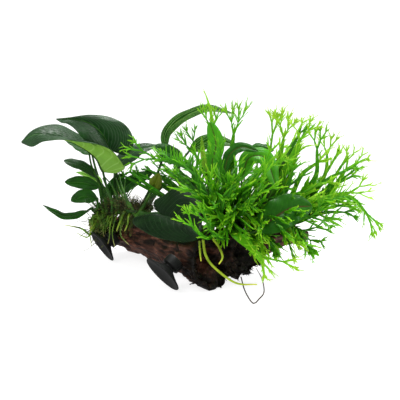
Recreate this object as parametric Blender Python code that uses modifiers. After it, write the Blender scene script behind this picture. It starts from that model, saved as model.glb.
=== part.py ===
"""Anubias and lace java fern grown on a piece of driftwood that carries two suction cups.

Everything is in metres, +Z up. The wood and the lower rims of both cups stand on the plane Z = 0.
"""

import math
import random

import bmesh
import bpy
from mathutils import Matrix, Vector, noise

MM = 0.001
GAP = 0.35 * MM  # clearance between pieces that touch

# The plants are placed from a picture, as (column, row, back): a point seen at that column and
# row of a 400 px square picture, and lying `back` millimetres behind the plane through the
# middle of the wood. These values are the picture's viewpoint.
PICTURE_MIDDLE = 200.0
FOCAL_PX = 540.0
EYE_TO_MIDDLE = 480 * MM
EYE_HEIGHT = 126.2 * MM
EYE_DIP = math.radians(7)

# The origin is under the middle of the whole piece.
ORIGIN = Vector((-0.9, 7.6, 0)) * MM

# Driftwood: a log that lies from far left to near right, and a fork on its right side.
LOG_FAR = Vector((-80, 97, 0)) * MM
LOG_NEAR = Vector((22, -51, 0)) * MM
LOG_HALF_WIDTH = 31.5 * MM
LOG_HALF_HEIGHT = 24 * MM
LOG_MIDDLE_HEIGHT = 22 * MM
LOG_SIDES = 24
LUMP_HEIGHT = 5.5 * MM
RIDGE_HEIGHT = 3.2 * MM
LUMP_SHIFT = 15  # where in the noise the lumps are taken from
RIDGE_SHIFT = 13
LOG_TAPER = 0.12  # how much thinner the far end is
BOW = 4 * MM  # sideways bow of the log, towards its right side
HOLLOW_DEPTH = 22 * MM
HOLLOW_RADIUS = 13 * MM
SPLINTER_LENGTH = 4 * MM
WORN_EDGE = 0.16  # how much less the lower left side reaches out
UNDERCUT = 0.25  # slope of the underside at the near end, rising to the right
SETTLED = 2.2 * MM  # the underside is worn flat up to this height
SHOULDER = 9 * MM  # how much further the right side reaches at the near end, below the fork
# (share of the length from the near end, share of the full girth) for each ring of the log
LOG_STATIONS = (
    [(0.05, 0.0), (0.045, 0.28), (0.035, 0.52), (0.02, 0.74), (0.005, 0.9), (0.02, 1.0)]
    + [(0.065 + 0.062 * step, 1.0) for step in range(14)]
    + [(0.93, 0.97), (0.975, 0.86), (1.0, 0.6), (1.0, 0.0)]
)

# Suction cup, turned about its own axis; height 0 is the plane of its lip.
CUP_RADIUS = 17.5 * MM
CUP_LIP = 1.6 * MM
CUP_NECK_RADIUS = 5.2 * MM
CUP_COLLAR_RADIUS = 7.8 * MM
CUP_HEIGHT = 17 * MM
CUP_HOLLOW = 2.6 * MM
CUP_SIDES = 20
CUPS = {
    "suction_cup_far": {"middle": (-97.4, 45.9, 0), "facing": (-0.733, -0.427, -0.529)},
    "suction_cup_near": {"middle": (-30.5, -57.5, 0), "facing": (-0.666, -0.430, -0.609)},
}

# The felt of roots at the far end of the wood.
ROOT_MAT_MIDDLE = Vector((-99, 67, 32)) * MM
ROOT_MAT_SIZE = (18 * MM, 12 * MM, 14 * MM)
ROOT_MAT_LEAN = math.radians(-40)
ROOT_MAT_LUMPS = 4 * MM

# The fork of the wood, its middle line and the radius at its two ends.
BRANCH_LINE = [Vector((36, -8, 24)), Vector((55, -6, 27)), Vector((72, 4, 31)), Vector((98, 19, 32))]
BRANCH_RADII = (12.5 * MM, 5.5 * MM)
BRANCH_LUMPS = 3 * MM

# Rhizomes: the creeping stems that the leaves grow from, on top of the wood.
ANUBIAS_RHIZOME = {
    "line": [Vector((-106, 76, 43)), Vector((-78, 52, 50)), Vector((-49, 26, 52))],
    "radius": 4.6 * MM,
}
FERN_RHIZOME = {
    "line": [
        Vector((9, -41, 52)),
        Vector((30, -20, 52)),
        Vector((60, 2, 46)),
        Vector((88, 18, 43)),
    ],
    "radius": 3.2 * MM,
}

RHIZOME_TIP = 0.8  # radius of a rhizome's last end, as a share of its first

STALK_RADIUS = 1.15 * MM
LEAF_THICKNESS = 1.2 * MM
FROND_THICKNESS = 0.75 * MM
ARM_WIDTH = 2.4 * MM
ARM_SHRINK = 0.82  # length of an arm, as a share of the arm that it grows from
ARM_ROLL = 20  # degrees that an arm may roll against the one it grows from
CROTCH_DEPTH = 0.3  # how far up a right-angled fork's crotch lies, as a share of the width there
TIP_WIDTH = 0.6 * MM
STALK_CLEARANCE = 1.0 * MM
FOOT_LENGTH = 4 * MM  # how far a stalk runs straight out of its rhizome
FROND_STALK_WIDTH = 1.7 * MM
BLADE_CURL = 0.1  # how far the margins drop, as a share of half the width
UPPER_CORNERS = 5  # corners on the upper side of a leaf's section, margins included

# Roots, each from a share of the way along the rhizome through picture points, with its
# thickness in millimetres.
THICK_ROOTS = (
    {"foot": 0.5, "line": [(121, 222, 34), (117, 236, 30), (115, 247, 28)], "thick": 2.4},
    {"foot": 0.66, "line": [(129, 222, 22), (125, 235, 12), (131, 244, 6)], "thick": 2.4},
    {"foot": 0.8, "line": [(136, 222, 14), (136, 230, 6), (132, 238, 4)], "thick": 2.2},
    {"foot": 0.38, "line": [(114, 222, 42), (111, 232, 34), (108, 242, 30)], "thick": 2.2},
    {"foot": 0.22, "line": [(107, 224, 56), (107, 232, 56)], "thick": 2.2},
    {"foot": 0.1, "line": [(97, 226, 62), (93, 235, 60)], "thick": 2.0},
    {"foot": 0.04, "line": [(84, 226, 70), (72, 231, 66), (66, 234, 64)], "thick": 1.6},
)
HANGING_ROOTS = {
    "hanging_root_long": {
        "line": [
            (203, 240, -57.7), (206, 256, -65), (216, 269, -68), (236, 283, -72), (257, 284.5, -72),
        ],
        "thick": 2.4,
    },
    "hanging_root_short": {
        "line": [(199.5, 241, -57), (200, 251, -59.5), (201, 261, -61)],
        "thick": 1.8,
    },
    "hanging_root_curved": {
        "line": [(213, 239, -53.5), (219, 247, -61), (222.5, 257, -66), (219, 264, -66)],
        "thick": 2.2,
    },
    "loose_root_loop": {
        "line": [
            (241, 277, -42), (245, 291, -66), (253, 303.2, -90), (259, 299, -87),
            (264, 292, -80), (262, 279, -58), (256, 268, -33),
        ],
        "thick": 1.0,
    },
}

# The two largest leaves are twisted: the far left one is seen from below at its base and from
# above at its tip. They are given by picture points of the near margin, the midrib and the far
# margin, from the base to the tip.
FAR_LEFT_RAILS = (
    ((104.5, 172.5, 62), (103, 172, 62), (102, 171.5, 62)),
    ((116, 173.3, 60), (101, 167, 62), (104, 164.5, 74)),
    ((125, 168, 59), (97.6, 159.7, 61), (101.5, 156, 79)),
    ((122, 160.5, 55), (93, 154.4, 59), (96, 148, 79)),
    ((113.7, 152.8, 50), (86.9, 149.8, 57), (90, 143, 77)),
    ((102, 146.5, 43), (80, 145.6, 54), (84.5, 139.8, 73)),
    ((89, 142, 36), (72, 141.3, 50), (79, 133.5, 68)),
    ((75, 140.2, 31), (64, 139.2, 46), (71, 129, 62)),
    ((64, 140.2, 28), (54.8, 136.4, 42), (61, 125.5, 56)),
    ((53, 140.4, 26), (45.6, 134.9, 38), (50, 124.8, 50)),
    ((42, 141.5, 26), (36, 134, 35), (40, 126.2, 44)),
    ((32, 146.8, 28), (28, 137.5, 33), (30, 131.8, 38)),
    ((22, 143.4, 32), (21.4, 142.4, 32), (21.2, 141.6, 32)),
)
TOP_RAILS = (
    ((110.6, 151.4, 60), (111, 150.5, 60), (112.5, 151.5, 61)),
    ((105, 150.5, 57), (108, 144.5, 59), (125, 155, 66)),
    ((98.5, 147.3, 52), (105, 138.5, 57), (132.5, 147.5, 66)),
    ((91.5, 143.6, 47), (101, 132.5, 54), (133.2, 138, 62)),
    ((86, 141, 42), (96, 127.5, 50), (129.5, 129.5, 60)),
    ((80.5, 135.8, 36), (90, 123.5, 46), (122, 122.3, 57)),
    ((76, 130.4, 32), (83.5, 121, 41), (112, 117.6, 54)),
    ((71.5, 126.3, 29), (77, 119.6, 36), (100.5, 115.2, 49)),
    ((66.5, 123.6, 26), (70, 118.9, 31), (88, 114.8, 42)),
    ((61.5, 122.8, 24), (63, 118.8, 27), (73.5, 116.8, 33)),
    ((56.4, 119.6, 23), (56.2, 119, 23), (56.6, 118.5, 23)),
)

# Anubias leaves. foot: share of the way along the rhizome. stalk and blade: picture points.
# faces: which way the upper side looks, from the blade's base to its tip.
ANUBIAS_LEAVES = {
    "leaf_far_left": {
        "foot": 0.42, "stalk": [(112, 200, 56), (107, 188, 60)], "rails": FAR_LEFT_RAILS,
    },
    "leaf_top": {
        "foot": 0.5, "stalk": [(118, 196, 66), (117, 176, 68), (113.5, 160, 65)],
        "rails": TOP_RAILS,
    },
    "leaf_behind_top": {
        "foot": 0.37, "stalk": [(114, 196, 78)],
        "blade": [(115, 166, 78), (137, 150, 82), (159, 145, 84)],
        "faces": [(0.1, -0.7, 0.7), (0.1, -0.5, 0.85)], "width": 21, "fold": 6,
    },
    "leaf_back_left": {
        "foot": 0.22, "stalk": [(103, 190, 88), (96, 170, 94)],
        "blade": [(92, 154, 96), (80, 147, 95), (64, 139, 92)],
        "faces": [(0, -0.4, 0.9), (-0.1, -0.3, 0.95)], "width": 20, "fold": 8,
    },
    "leaf_left_small": {
        "foot": 0.24, "stalk": [(105, 198, 66)],
        "blade": [(98, 178, 67), (84, 167, 66), (64, 160.5, 62)],
        "faces": [(0.2, 0.3, 0.9), (-0.2, -0.6, 0.8)], "width": 17, "fold": 10,
    },
    "leaf_left_round": {
        "foot": 0.17, "stalk": [(102, 203, 60)],
        "blade": [(99, 187, 56), (83, 182.5, 50), (65, 182, 44)],
        "faces": [(-0.1, -0.8, 0.6), (-0.1, -0.7, 0.7)], "width": 13, "fold": 6,
    },
    "leaf_left_folded": {
        "foot": 0.31, "stalk": [(109, 198, 74)],
        "blade": [(102, 184, 80), (90, 177, 80), (76, 172, 78)],
        "faces": [(-0.2, -0.5, 0.8), (-0.2, -0.4, 0.9)], "width": 13, "fold": 24,
    },
    "leaf_left_lower": {
        "foot": 0.08, "stalk": [(98, 207, 55)],
        "blade": [(97, 198, 45), (84, 196, 39), (71, 201, 33)],
        "faces": [(-0.1, -0.85, 0.5), (-0.2, -0.8, 0.55)], "width": 16, "fold": 6,
    },
    "leaf_left_level": {
        "foot": 0.02, "stalk": [(92, 208, 66)],
        "blade": [(87, 211, 60), (66, 216, 52), (43, 205, 46)],
        "faces": [(0, -0.12, 1), (0, 0.05, 1)], "width": 18, "fold": 5,
    },
    "leaf_front": {
        "foot": 0.98, "stalk": [(144, 213, 10)],
        "blade": [(142, 213, 0), (158, 214, -11), (179, 221, -26), (200, 238, -60)],
        "faces": [(-0.35, -0.75, 0.6), (-0.3, -0.75, 0.6)], "width": 54, "fold": 5,
    },
    "leaf_middle": {
        "foot": 0.9, "stalk": [(152, 196, 46), (172, 178, 56)],
        "blade": [(183, 161, 60), (169, 153, 58), (154, 146, 54)],
        "faces": [(0, -0.85, 0.5), (-0.1, -0.7, 0.7)], "width": 19, "fold": 6,
    },
    "leaf_arching": {
        "foot": 0.8, "stalk": [(146, 198, 54), (158, 172, 66)],
        "blade": [(165, 150, 70), (167, 132, 70), (184, 117, 66), (208, 108.5, 60), (234, 113.5, 54)],
        "faces": [(-0.6, -0.7, 0.2), (-0.3, -0.6, 0.7), (0.2, -0.6, 0.8)], "width": 17, "fold": 10,
    },
    "leaf_behind_fern": {
        "foot": 0.95, "stalk": [(152, 200, 58), (176, 168, 80)],
        "blade": [(190, 150, 86), (212, 140, 88), (238, 145, 88)],
        "faces": [(0.1, -0.75, 0.65), (0.2, -0.7, 0.7)], "width": 19, "fold": 6,
    },
    "leaf_young": {
        "foot": 0.76, "stalk": [(139, 197, 34)],
        "blade": [(152.5, 190, 30), (156, 182, 30), (159, 173, 30)],
        "faces": [(-0.1, -0.95, 0.3), (-0.1, -0.95, 0.3)], "width": 13, "fold": 8,
    },
}

# Undivided leaves of the fern, given the same way.
FERN_LEAVES = {
    "fern_leaf_upright": {
        "foot": 0.18, "stalk": [(222, 205, -16)],
        "blade": [(216, 174, -6), (213, 150, -2), (211, 121, 4)],
        "faces": [(-0.2, -0.95, 0.2), (-0.1, -0.95, 0.3)], "width": 19, "fold": 8,
    },
    "fern_leaf_narrow": {
        "foot": 0.06, "stalk": [(212, 205, -22)],
        "blade": [(206, 172, -16), (203, 154, -14), (201.5, 136, -12)],
        "faces": [(-0.3, -0.9, 0.2), (-0.3, -0.9, 0.2)], "width": 5, "fold": 8,
    },
    "fern_leaf_bent": {
        "foot": 0.26, "stalk": [(226, 200, -24)],
        "blade": [(223, 176, -20), (229, 156, -18), (241, 147, -18), (258, 151, -20)],
        "faces": [(-0.6, -0.7, 0.4), (0, -0.8, 0.6)], "width": 11, "fold": 8,
    },
    "fern_leaf_round": {
        "foot": 0.5, "stalk": [(244, 195, 24)],
        "blade": [(245, 160, 32), (258, 149, 34), (274, 150, 34)],
        "faces": [(-0.1, -0.7, 0.7), (0.1, -0.6, 0.8)], "width": 16, "fold": 5,
    },
    "fern_leaf_broad": {
        "foot": 0.34, "stalk": [(240, 200, -12)],
        "blade": [(242, 178, -8), (249, 158, -8), (266, 159, -10), (277, 190, -14)],
        "faces": [(-0.4, -0.8, 0.4), (0.1, -0.8, 0.6), (0.4, -0.8, 0.4)], "width": 17, "fold": 8,
    },
    "fern_leaf_large": {
        "foot": 0.3, "stalk": [(250, 232, -58)],
        "blade": [(257, 231, -63), (274, 218, -62), (292, 208, -58), (312, 206, -52)],
        "faces": [(-0.15, -0.9, 0.4), (-0.05, -0.9, 0.4)], "width": 27, "fold": 6,
    },
    "fern_leaf_low": {
        "foot": 0.66, "stalk": [(276, 213, 18)],
        "blade": [(286, 205, 20), (300, 199, 22), (318, 201, 22)],
        "faces": [(0, -0.7, 0.7), (0.1, -0.7, 0.7)], "width": 11, "fold": 6,
    },
}

# Lace fronds. strap: picture points up to where the strap begins to fork. reach: how far the
# forks reach on from there, in millimetres. spread: the angle between two arms, in degrees.
LACE_FRONDS = {
    "frond_01": {"foot": 0.3, "strap": [(222, 172, 30), (215, 142, 34), (212, 120, 34)],
                 "reach": 26, "spread": 34, "width": 3.4, "seed": 1},
    "frond_02": {"foot": 0.24, "strap": [(218, 176, 24), (213, 150, 27), (212, 133, 27)],
                 "reach": 24, "spread": 60, "width": 6, "seed": 2},
    "frond_03": {"foot": 0.36, "strap": [(232, 180, 14), (231, 158, 14), (233, 140, 14)],
                 "reach": 34, "spread": 52, "width": 8, "seed": 3},
    "frond_04": {"foot": 0.54, "strap": [(262, 180, 46), (269, 156, 48), (272, 138, 48)],
                 "reach": 24, "spread": 32, "width": 3, "seed": 4},
    "frond_05": {"foot": 0.56, "strap": [(268, 182, 12), (279, 160, 10), (283, 142, 10)],
                 "reach": 26, "spread": 50, "width": 6, "seed": 5},
    "frond_06": {"foot": 0.6, "strap": [(280, 180, -2), (292, 158, -4), (298, 144, -4)],
                 "reach": 26, "spread": 66, "width": 8, "seed": 6},
    "frond_07": {"foot": 0.72, "strap": [(300, 195, 8), (316, 176, 6), (317, 153, 6)],
                 "reach": 22, "spread": 46, "width": 5, "seed": 7},
    "frond_08": {"foot": 0.8, "strap": [(308, 200, 32), (325, 175, 34), (327, 158, 34)],
                 "reach": 24, "spread": 46, "width": 5, "seed": 8},
    "frond_09": {"foot": 0.86, "strap": [(312, 205, 18), (332, 190, 18), (344, 172, 18)],
                 "reach": 26, "spread": 58, "width": 6, "seed": 9},
    "frond_10": {"foot": 0.96, "strap": [(314, 206, 0), (333, 196, -6), (346, 193, -8)],
                 "reach": 26, "spread": 50, "width": 6, "seed": 10},
    "frond_11": {"foot": 0.93, "strap": [(320, 208, -18), (338, 199, -24), (354, 199, -26), (364, 210, -26)],
                 "reach": 27, "spread": 36, "width": 5, "seed": 11},
    "frond_12": {"foot": 0.99, "strap": [(318, 214, 8), (331, 212, 4), (341, 212, 4)],
                 "reach": 16, "spread": 44, "width": 4, "seed": 12, "levels": 2},
    "frond_13": {"foot": 0.7, "strap": [(292, 222, -32), (307, 218, -38)],
                 "reach": 26, "spread": 62, "width": 9, "seed": 13},
    "frond_14": {"foot": 0.78, "strap": [(284, 226, -12), (299, 230, -18)],
                 "reach": 28, "spread": 66, "width": 8, "seed": 14},
    "frond_15": {"foot": 0.14, "strap": [(237, 235, -68), (250, 246, -72), (259, 258, -74)],
                 "reach": 15, "spread": 56, "width": 9, "seed": 15, "levels": 2},
    "frond_16": {"foot": 0.2, "strap": [(245, 233, -62), (260, 255, -70), (280, 261, -68)],
                 "reach": 15, "spread": 34, "width": 2, "seed": 16, "levels": 2},
    "frond_17": {"foot": 0.02, "strap": [(212, 236, -68), (205, 238, -72), (195, 229, -72)],
                 "reach": 17, "spread": 66, "width": 5, "seed": 17, "levels": 2},
    "frond_18": {"foot": 0.0, "strap": [(205, 195, -30), (192, 172, -26), (172, 164, -24)],
                 "reach": 26, "spread": 62, "width": 4, "seed": 18},
    "frond_19": {"foot": 0.1, "strap": [(206, 190, -2), (186, 168, 8), (160, 160, 12)],
                 "reach": 38, "spread": 44, "width": 3.4, "seed": 19},
    "frond_20": {"foot": 0.14, "strap": [(208, 180, 34), (197, 158, 40)],
                 "reach": 28, "spread": 44, "width": 6, "seed": 20},
    "frond_21": {"foot": 0.08, "strap": [(218, 212, -58), (224, 200, -62), (232, 188, -62)],
                 "reach": 26, "spread": 60, "width": 9, "seed": 21, "levels": 2},
    "frond_22": {"foot": 0.22, "strap": [(236, 216, -52), (246, 206, -56), (256, 196, -56)],
                 "reach": 28, "spread": 62, "width": 9, "seed": 22, "levels": 2},
    "frond_23": {"foot": 0.04, "strap": [(212, 206, -48), (204, 194, -50), (198, 180, -48)],
                 "reach": 26, "spread": 56, "width": 8, "seed": 23, "levels": 2},
    "frond_24": {"foot": 0.44, "strap": [(262, 216, -26), (276, 205, -26), (286, 190, -26)],
                 "reach": 26, "spread": 56, "width": 8, "seed": 24, "levels": 2},
    "frond_25": {"foot": 0.28, "strap": [(240, 205, -38), (250, 184, -38), (260, 172, -38)],
                 "reach": 28, "spread": 56, "width": 8, "seed": 25, "levels": 2},
    "frond_26": {"foot": 0.12, "strap": [(224, 200, -42), (226, 184, -42), (222, 170, -42)],
                 "reach": 26, "spread": 60, "width": 8, "seed": 26, "levels": 2},
    "frond_27": {"foot": 0.06, "strap": [(226, 238, -72), (216, 236, -78), (209, 226, -80)],
                 "reach": 20, "spread": 60, "width": 6, "seed": 27, "levels": 2},
}


def seen(column, row, back):
    """The place of a point given as it is seen in the picture, in metres."""
    right = (column - PICTURE_MIDDLE) / FOCAL_PX
    down = (row - PICTURE_MIDDLE) / FOCAL_PX
    ray = Vector(
        (
            right,
            math.cos(EYE_DIP) - down * math.sin(EYE_DIP),
            -math.sin(EYE_DIP) - down * math.cos(EYE_DIP),
        )
    )
    reach = (EYE_TO_MIDDLE + back * MM) / ray.y
    return Vector((0, -EYE_TO_MIDDLE, EYE_HEIGHT)) + ray * reach


def smooth_path(points, steps):
    """steps + 1 points, evenly spread by length, on a curve through the given points."""
    ends = [points[0] * 2 - points[1]] + list(points) + [points[-1] * 2 - points[-2]]
    dense = []
    for a, b, c, d in zip(ends, ends[1:], ends[2:], ends[3:]):
        for part in range(12):
            t = part / 12
            dense.append(
                0.5
                * (
                    2 * b
                    + (c - a) * t
                    + (2 * a - 5 * b + 4 * c - d) * t * t
                    + (3 * b - a - 3 * c + d) * t**3
                )
            )
    dense.append(points[-1].copy())
    lengths = [0.0]
    for a, b in zip(dense, dense[1:]):
        lengths.append(lengths[-1] + (b - a).length)
    path = []
    at = 0
    for step in range(steps + 1):
        goal = lengths[-1] * step / steps
        while at < len(dense) - 2 and lengths[at + 1] < goal:
            at += 1
        span = lengths[at + 1] - lengths[at]
        path.append(dense[at].lerp(dense[at + 1], (goal - lengths[at]) / span))
    return path


def tangents(path):
    """The direction of the path at each of its points."""
    ends = [path[0]] + path + [path[-1]]
    return [(c - a).normalized() for a, c in zip(ends, ends[2:])]


def blend_vectors(vectors, share):
    """The vector at a share, 0 to 1, of the way along a short list of vectors."""
    place = min(max(share, 0.0), 1.0) * (len(vectors) - 1)
    index = min(int(place), len(vectors) - 2)
    return vectors[index].lerp(vectors[index + 1], place - index)


def start_scene():
    """Empties the scene and makes one collection for the piece and one for the cutters."""
    for old in list(bpy.data.objects):
        bpy.data.objects.remove(old)
    made = {}
    for name in ("fern_and_anubias_on_driftwood", "cutters"):
        made[name] = bpy.data.collections.new(name)
        bpy.context.scene.collection.children.link(made[name])
    made["cutters"].hide_render = True
    return made["fern_and_anubias_on_driftwood"], made["cutters"]


def material(name, color, roughness):
    """A plain finish with the colour that the real surface has."""
    finish = bpy.data.materials.new(name)
    finish.use_nodes = True
    shader = finish.node_tree.nodes["Principled BSDF"]
    shader.inputs["Base Color"].default_value = (*color, 1)
    shader.inputs["Roughness"].default_value = roughness
    finish.diffuse_color = (*color, 1)
    return finish


def object_from(bm, name, finish, smooth=True):
    """Turns a bmesh into an object of the piece, with the row's origin."""
    bmesh.ops.translate(bm, verts=bm.verts, vec=-ORIGIN)
    bmesh.ops.recalc_face_normals(bm, faces=bm.faces)
    mesh = bpy.data.meshes.new(name)
    bm.to_mesh(mesh)
    bm.free()
    mesh.materials.append(finish)
    if smooth:
        mesh.shade_smooth()
    obj = bpy.data.objects.new(name, mesh)
    PIECE.objects.link(obj)
    return obj


def cutter_from(obj, grow):
    """A hidden copy of a finished object, grown all over by a clearance."""
    graph = bpy.context.evaluated_depsgraph_get()
    mesh = bpy.data.meshes.new_from_object(obj.evaluated_get(graph))
    bm = bmesh.new()
    bm.from_mesh(mesh)
    bm.normal_update()
    for vert in bm.verts:
        vert.co += vert.normal * grow
    bm.to_mesh(mesh)
    bm.free()
    cutter = bpy.data.objects.new(obj.name + "_cutter", mesh)
    cutter.matrix_world = obj.matrix_world
    cutter.hide_render = True
    cutter.display_type = "WIRE"
    CUTTERS.objects.link(cutter)
    return cutter


def combine(obj, other, operation):
    """Adds a Boolean with another object."""
    boolean = obj.modifiers.new(operation.lower(), "BOOLEAN")
    boolean.operation = operation
    boolean.solver = "EXACT"
    boolean.object = other


def mesh_of_curve(guide, name, finish):
    """Replaces a curve object with a mesh of it whose caps are welded."""
    bpy.context.view_layer.update()
    graph = bpy.context.evaluated_depsgraph_get()
    mesh = bpy.data.meshes.new_from_object(guide.evaluated_get(graph))
    bm = bmesh.new()
    bm.from_mesh(mesh)
    bmesh.ops.remove_doubles(bm, verts=bm.verts, dist=0.01 * MM)
    bmesh.ops.recalc_face_normals(bm, faces=bm.faces)
    bm.to_mesh(mesh)
    bm.free()
    mesh.materials.clear()
    mesh.materials.append(finish)
    mesh.shade_smooth()
    obj = bpy.data.objects.new(name, mesh)
    obj.matrix_world = guide.matrix_world
    PIECE.objects.link(obj)
    bpy.data.objects.remove(guide)
    return obj


def tube(name, path, start_radius, end_radius, resolution, finish):
    """A round piece along a path, thinning evenly from its first point to its last."""
    curve = bpy.data.curves.new(name, "CURVE")
    curve.dimensions = "3D"
    curve.bevel_depth = 1.0
    curve.bevel_resolution = resolution
    curve.use_fill_caps = True
    spline = curve.splines.new("POLY")
    spline.points.add(len(path) - 1)
    for index, (point, place) in enumerate(zip(spline.points, path)):
        share = index / (len(path) - 1)
        point.co = (*(place - ORIGIN), 1)
        point.radius = start_radius + (end_radius - start_radius) * share
    guide = bpy.data.objects.new(name + "_guide", curve)
    PIECE.objects.link(guide)
    return mesh_of_curve(guide, name, finish)


# ---- driftwood ----


def log_point(along, girth, angle):
    """A point of the log's rough surface. along runs from the near end, 0, to the far end, 1."""
    axis = LOG_FAR - LOG_NEAR
    right = Vector((axis.y, -axis.x, 0)).normalized()
    taper = 1 - LOG_TAPER * along
    grain = Vector((math.cos(angle), math.sin(angle), 0))
    if grain.x < 0 and grain.y < 0 and along > 0.25:  # the worn lower left edge
        taper *= 1 - WORN_EDGE * abs(grain.x * grain.y) * 2
    lump = noise.noise(Vector((grain.x * 1.4, grain.y * 1.4, along * 6.5 + LUMP_SHIFT)))
    ridge = noise.noise(Vector((grain.x * 4, grain.y * 4, along * 3.2 + RIDGE_SHIFT)))
    rough = (LUMP_HEIGHT * lump + RIDGE_HEIGHT * ridge) * min(girth * 2, 1)
    side = (LOG_HALF_WIDTH * taper * girth + rough) * grain.x
    up = (LOG_HALF_HEIGHT * taper * girth + rough) * grain.y
    side += SHOULDER * girth * max(grain.x, 0) ** 2 * math.exp(-((along / 0.2) ** 2))
    place = LOG_NEAR + axis * along + right * (side + BOW * math.sin(math.pi * along))
    place.z = LOG_MIDDLE_HEIGHT + up
    if along < 0.06:  # the broken near end: splintered, with a rotted hollow on its upper left
        splinter = noise.noise(Vector((grain.x * 4, grain.y * 4, girth * 3 + 2)))
        off_centre = (side + HOLLOW_RADIUS) ** 2 + (up - 4 * MM) ** 2
        hollow = math.exp(-off_centre / HOLLOW_RADIUS**2)
        place += axis.normalized() * (SPLINTER_LENGTH * splinter + HOLLOW_DEPTH * hollow)
    near = math.exp(-((along / 0.25) ** 2))
    underside = UNDERCUT * max(side + 8 * MM, 0) * near
    if place.z < underside + SETTLED:
        place.z = underside
    return place


def make_log(finish):
    """The main log: a closed ring mesh, shaped ring by ring."""
    rings = len(LOG_STATIONS) - 1
    bm = bmesh.new()
    bmesh.ops.create_uvsphere(bm, u_segments=LOG_SIDES, v_segments=rings, radius=1)
    for vert in bm.verts:
        ring = round(math.acos(max(-1, min(1, vert.co.z))) / math.pi * rings)
        angle = math.atan2(vert.co.y, vert.co.x)
        along, girth = LOG_STATIONS[ring]
        vert.co = log_point(along, girth, angle)
    return object_from(bm, "driftwood_log", finish)


# ---- suction cups ----


def make_cup(name, middle, facing, finish):
    """One rubber cup: a turned profile whose lip faces along `facing`."""
    neck = CUP_NECK_RADIUS
    collar = CUP_COLLAR_RADIUS
    inside = [(0, -CUP_HOLLOW), (10 * MM, -0.65 * CUP_HOLLOW), (CUP_RADIUS - CUP_LIP, 0)]
    back = [
        (CUP_RADIUS, 0),
        (CUP_RADIUS, -1.0 * MM),
        (14 * MM, -2.6 * MM),
        (9 * MM, -5.2 * MM),
        (neck, -7.4 * MM),
        (neck, -8.4 * MM),
    ]
    knob = [
        (collar, -9.2 * MM),
        (collar, -CUP_HEIGHT + 1 * MM),
        (collar - 1 * MM, -CUP_HEIGHT),
        (0, -CUP_HEIGHT),
    ]
    profile = inside + back + knob
    mesh = bpy.data.meshes.new(name)
    bm = bmesh.new()
    corners = [bm.verts.new((radius, 0, height)) for radius, height in profile]
    for a, b in zip(corners, corners[1:]):
        bm.edges.new((a, b))
    bm.to_mesh(mesh)
    bm.free()
    mesh.materials.append(finish)
    cup = bpy.data.objects.new(name, mesh)
    PIECE.objects.link(cup)
    cup.location = middle - ORIGIN
    cup.rotation_mode = "QUATERNION"
    cup.rotation_quaternion = facing.to_track_quat("Z", "Y")
    screw = cup.modifiers.new("turned", "SCREW")
    screw.steps = screw.render_steps = CUP_SIDES
    screw.use_merge_vertices = True
    screw.merge_threshold = 0.05 * MM
    screw.use_smooth_shade = False
    return cup


def standing_height(facing):
    """How high a cup's middle is when its rim stands on the surface."""
    return CUP_RADIUS * math.sqrt(1 - facing.z**2)


# ---- leaves with a stalk: one loft from the foot of the stalk to the tip ----


def leaf_ring(place, along, face, half_width, half_depth, roundness, fold):
    """The six corners of one section of a leaf or its stalk: five above, one below."""
    side = face.cross(along).normalized()
    up = along.cross(side).normalized()
    bend = math.radians(fold)
    corners = []
    half = 0.5 + 0.2 * roundness
    for across, depth in ((-1, 0), (-half, 1), (0, 1), (half, 1), (1, 0), (0, -1)):
        out = across * half_width
        drop = BLADE_CURL * (1 - roundness) * across * across * half_width
        rise = abs(out) * math.sin(bend) - drop
        thick = half_depth * (1 if across == 0 else 0.72)
        corners.append(place + side * out * math.cos(bend) + up * (rise + depth * thick))
    return corners


def railed_ring(near, middle, far, along, half_depth):
    """The six corners of one section of a blade whose margins are given."""
    up = along.cross(far - near).normalized() * half_depth
    inner = [middle.lerp(margin, 0.5) + up * 0.72 for margin in (near, far)]
    return [near, inner[0], middle + up, inner[1], far, middle - up]


def loft(bm, rings):
    """Joins sections of equal count into one closed skin."""
    skin = [[bm.verts.new(corner) for corner in ring] for ring in rings]
    for before, after in zip(skin, skin[1:]):
        for index in range(len(before)):
            following = (index + 1) % len(before)
            quad = [before[index], before[following], after[following], after[index]]
            if index >= UPPER_CORNERS - 1:  # below, the faces split along the same lines as above
                quad = quad[1:] + quad[:1]
            bm.faces.new(quad)
    bm.faces.new(skin[0])
    bm.faces.new(reversed(skin[-1]))


def blade_width(share):
    """Half the blade's width, as a share of its greatest, from its base, 0, to its tip, 1."""
    rise, fall = 0.55, 0.85
    peak = rise / (rise + fall)
    top = peak**rise * (1 - peak) ** fall
    return share**rise * (1 - share) ** fall / top


def foot_and_start(rhizome, spec, towards):
    """Where a stalk leaves its rhizome, just clear of its surface, and a point straight out from there."""
    path = rhizome["path"]
    root = blend_vectors(path, spec["foot"])
    radius = rhizome["radius"] * (1 - (1 - RHIZOME_TIP) * spec["foot"])
    creep = (path[-1] - path[0]).normalized()
    out = towards - root
    out = (out - creep * out.dot(creep)).normalized()
    foot = root + out * (radius + STALK_CLEARANCE)
    return [foot, foot + out * FOOT_LENGTH]


def stalk_rings(path, face):
    """Sections of a stalk that thins from its foot to the blade."""
    steps = len(path) - 1
    rings = []
    for index, (place, direction) in enumerate(zip(path, tangents(path))):
        radius = STALK_RADIUS * (1.35 - 0.35 * index / steps)
        rings.append(leaf_ring(place, direction, face, radius, radius, 1, 0))
    return rings


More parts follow.
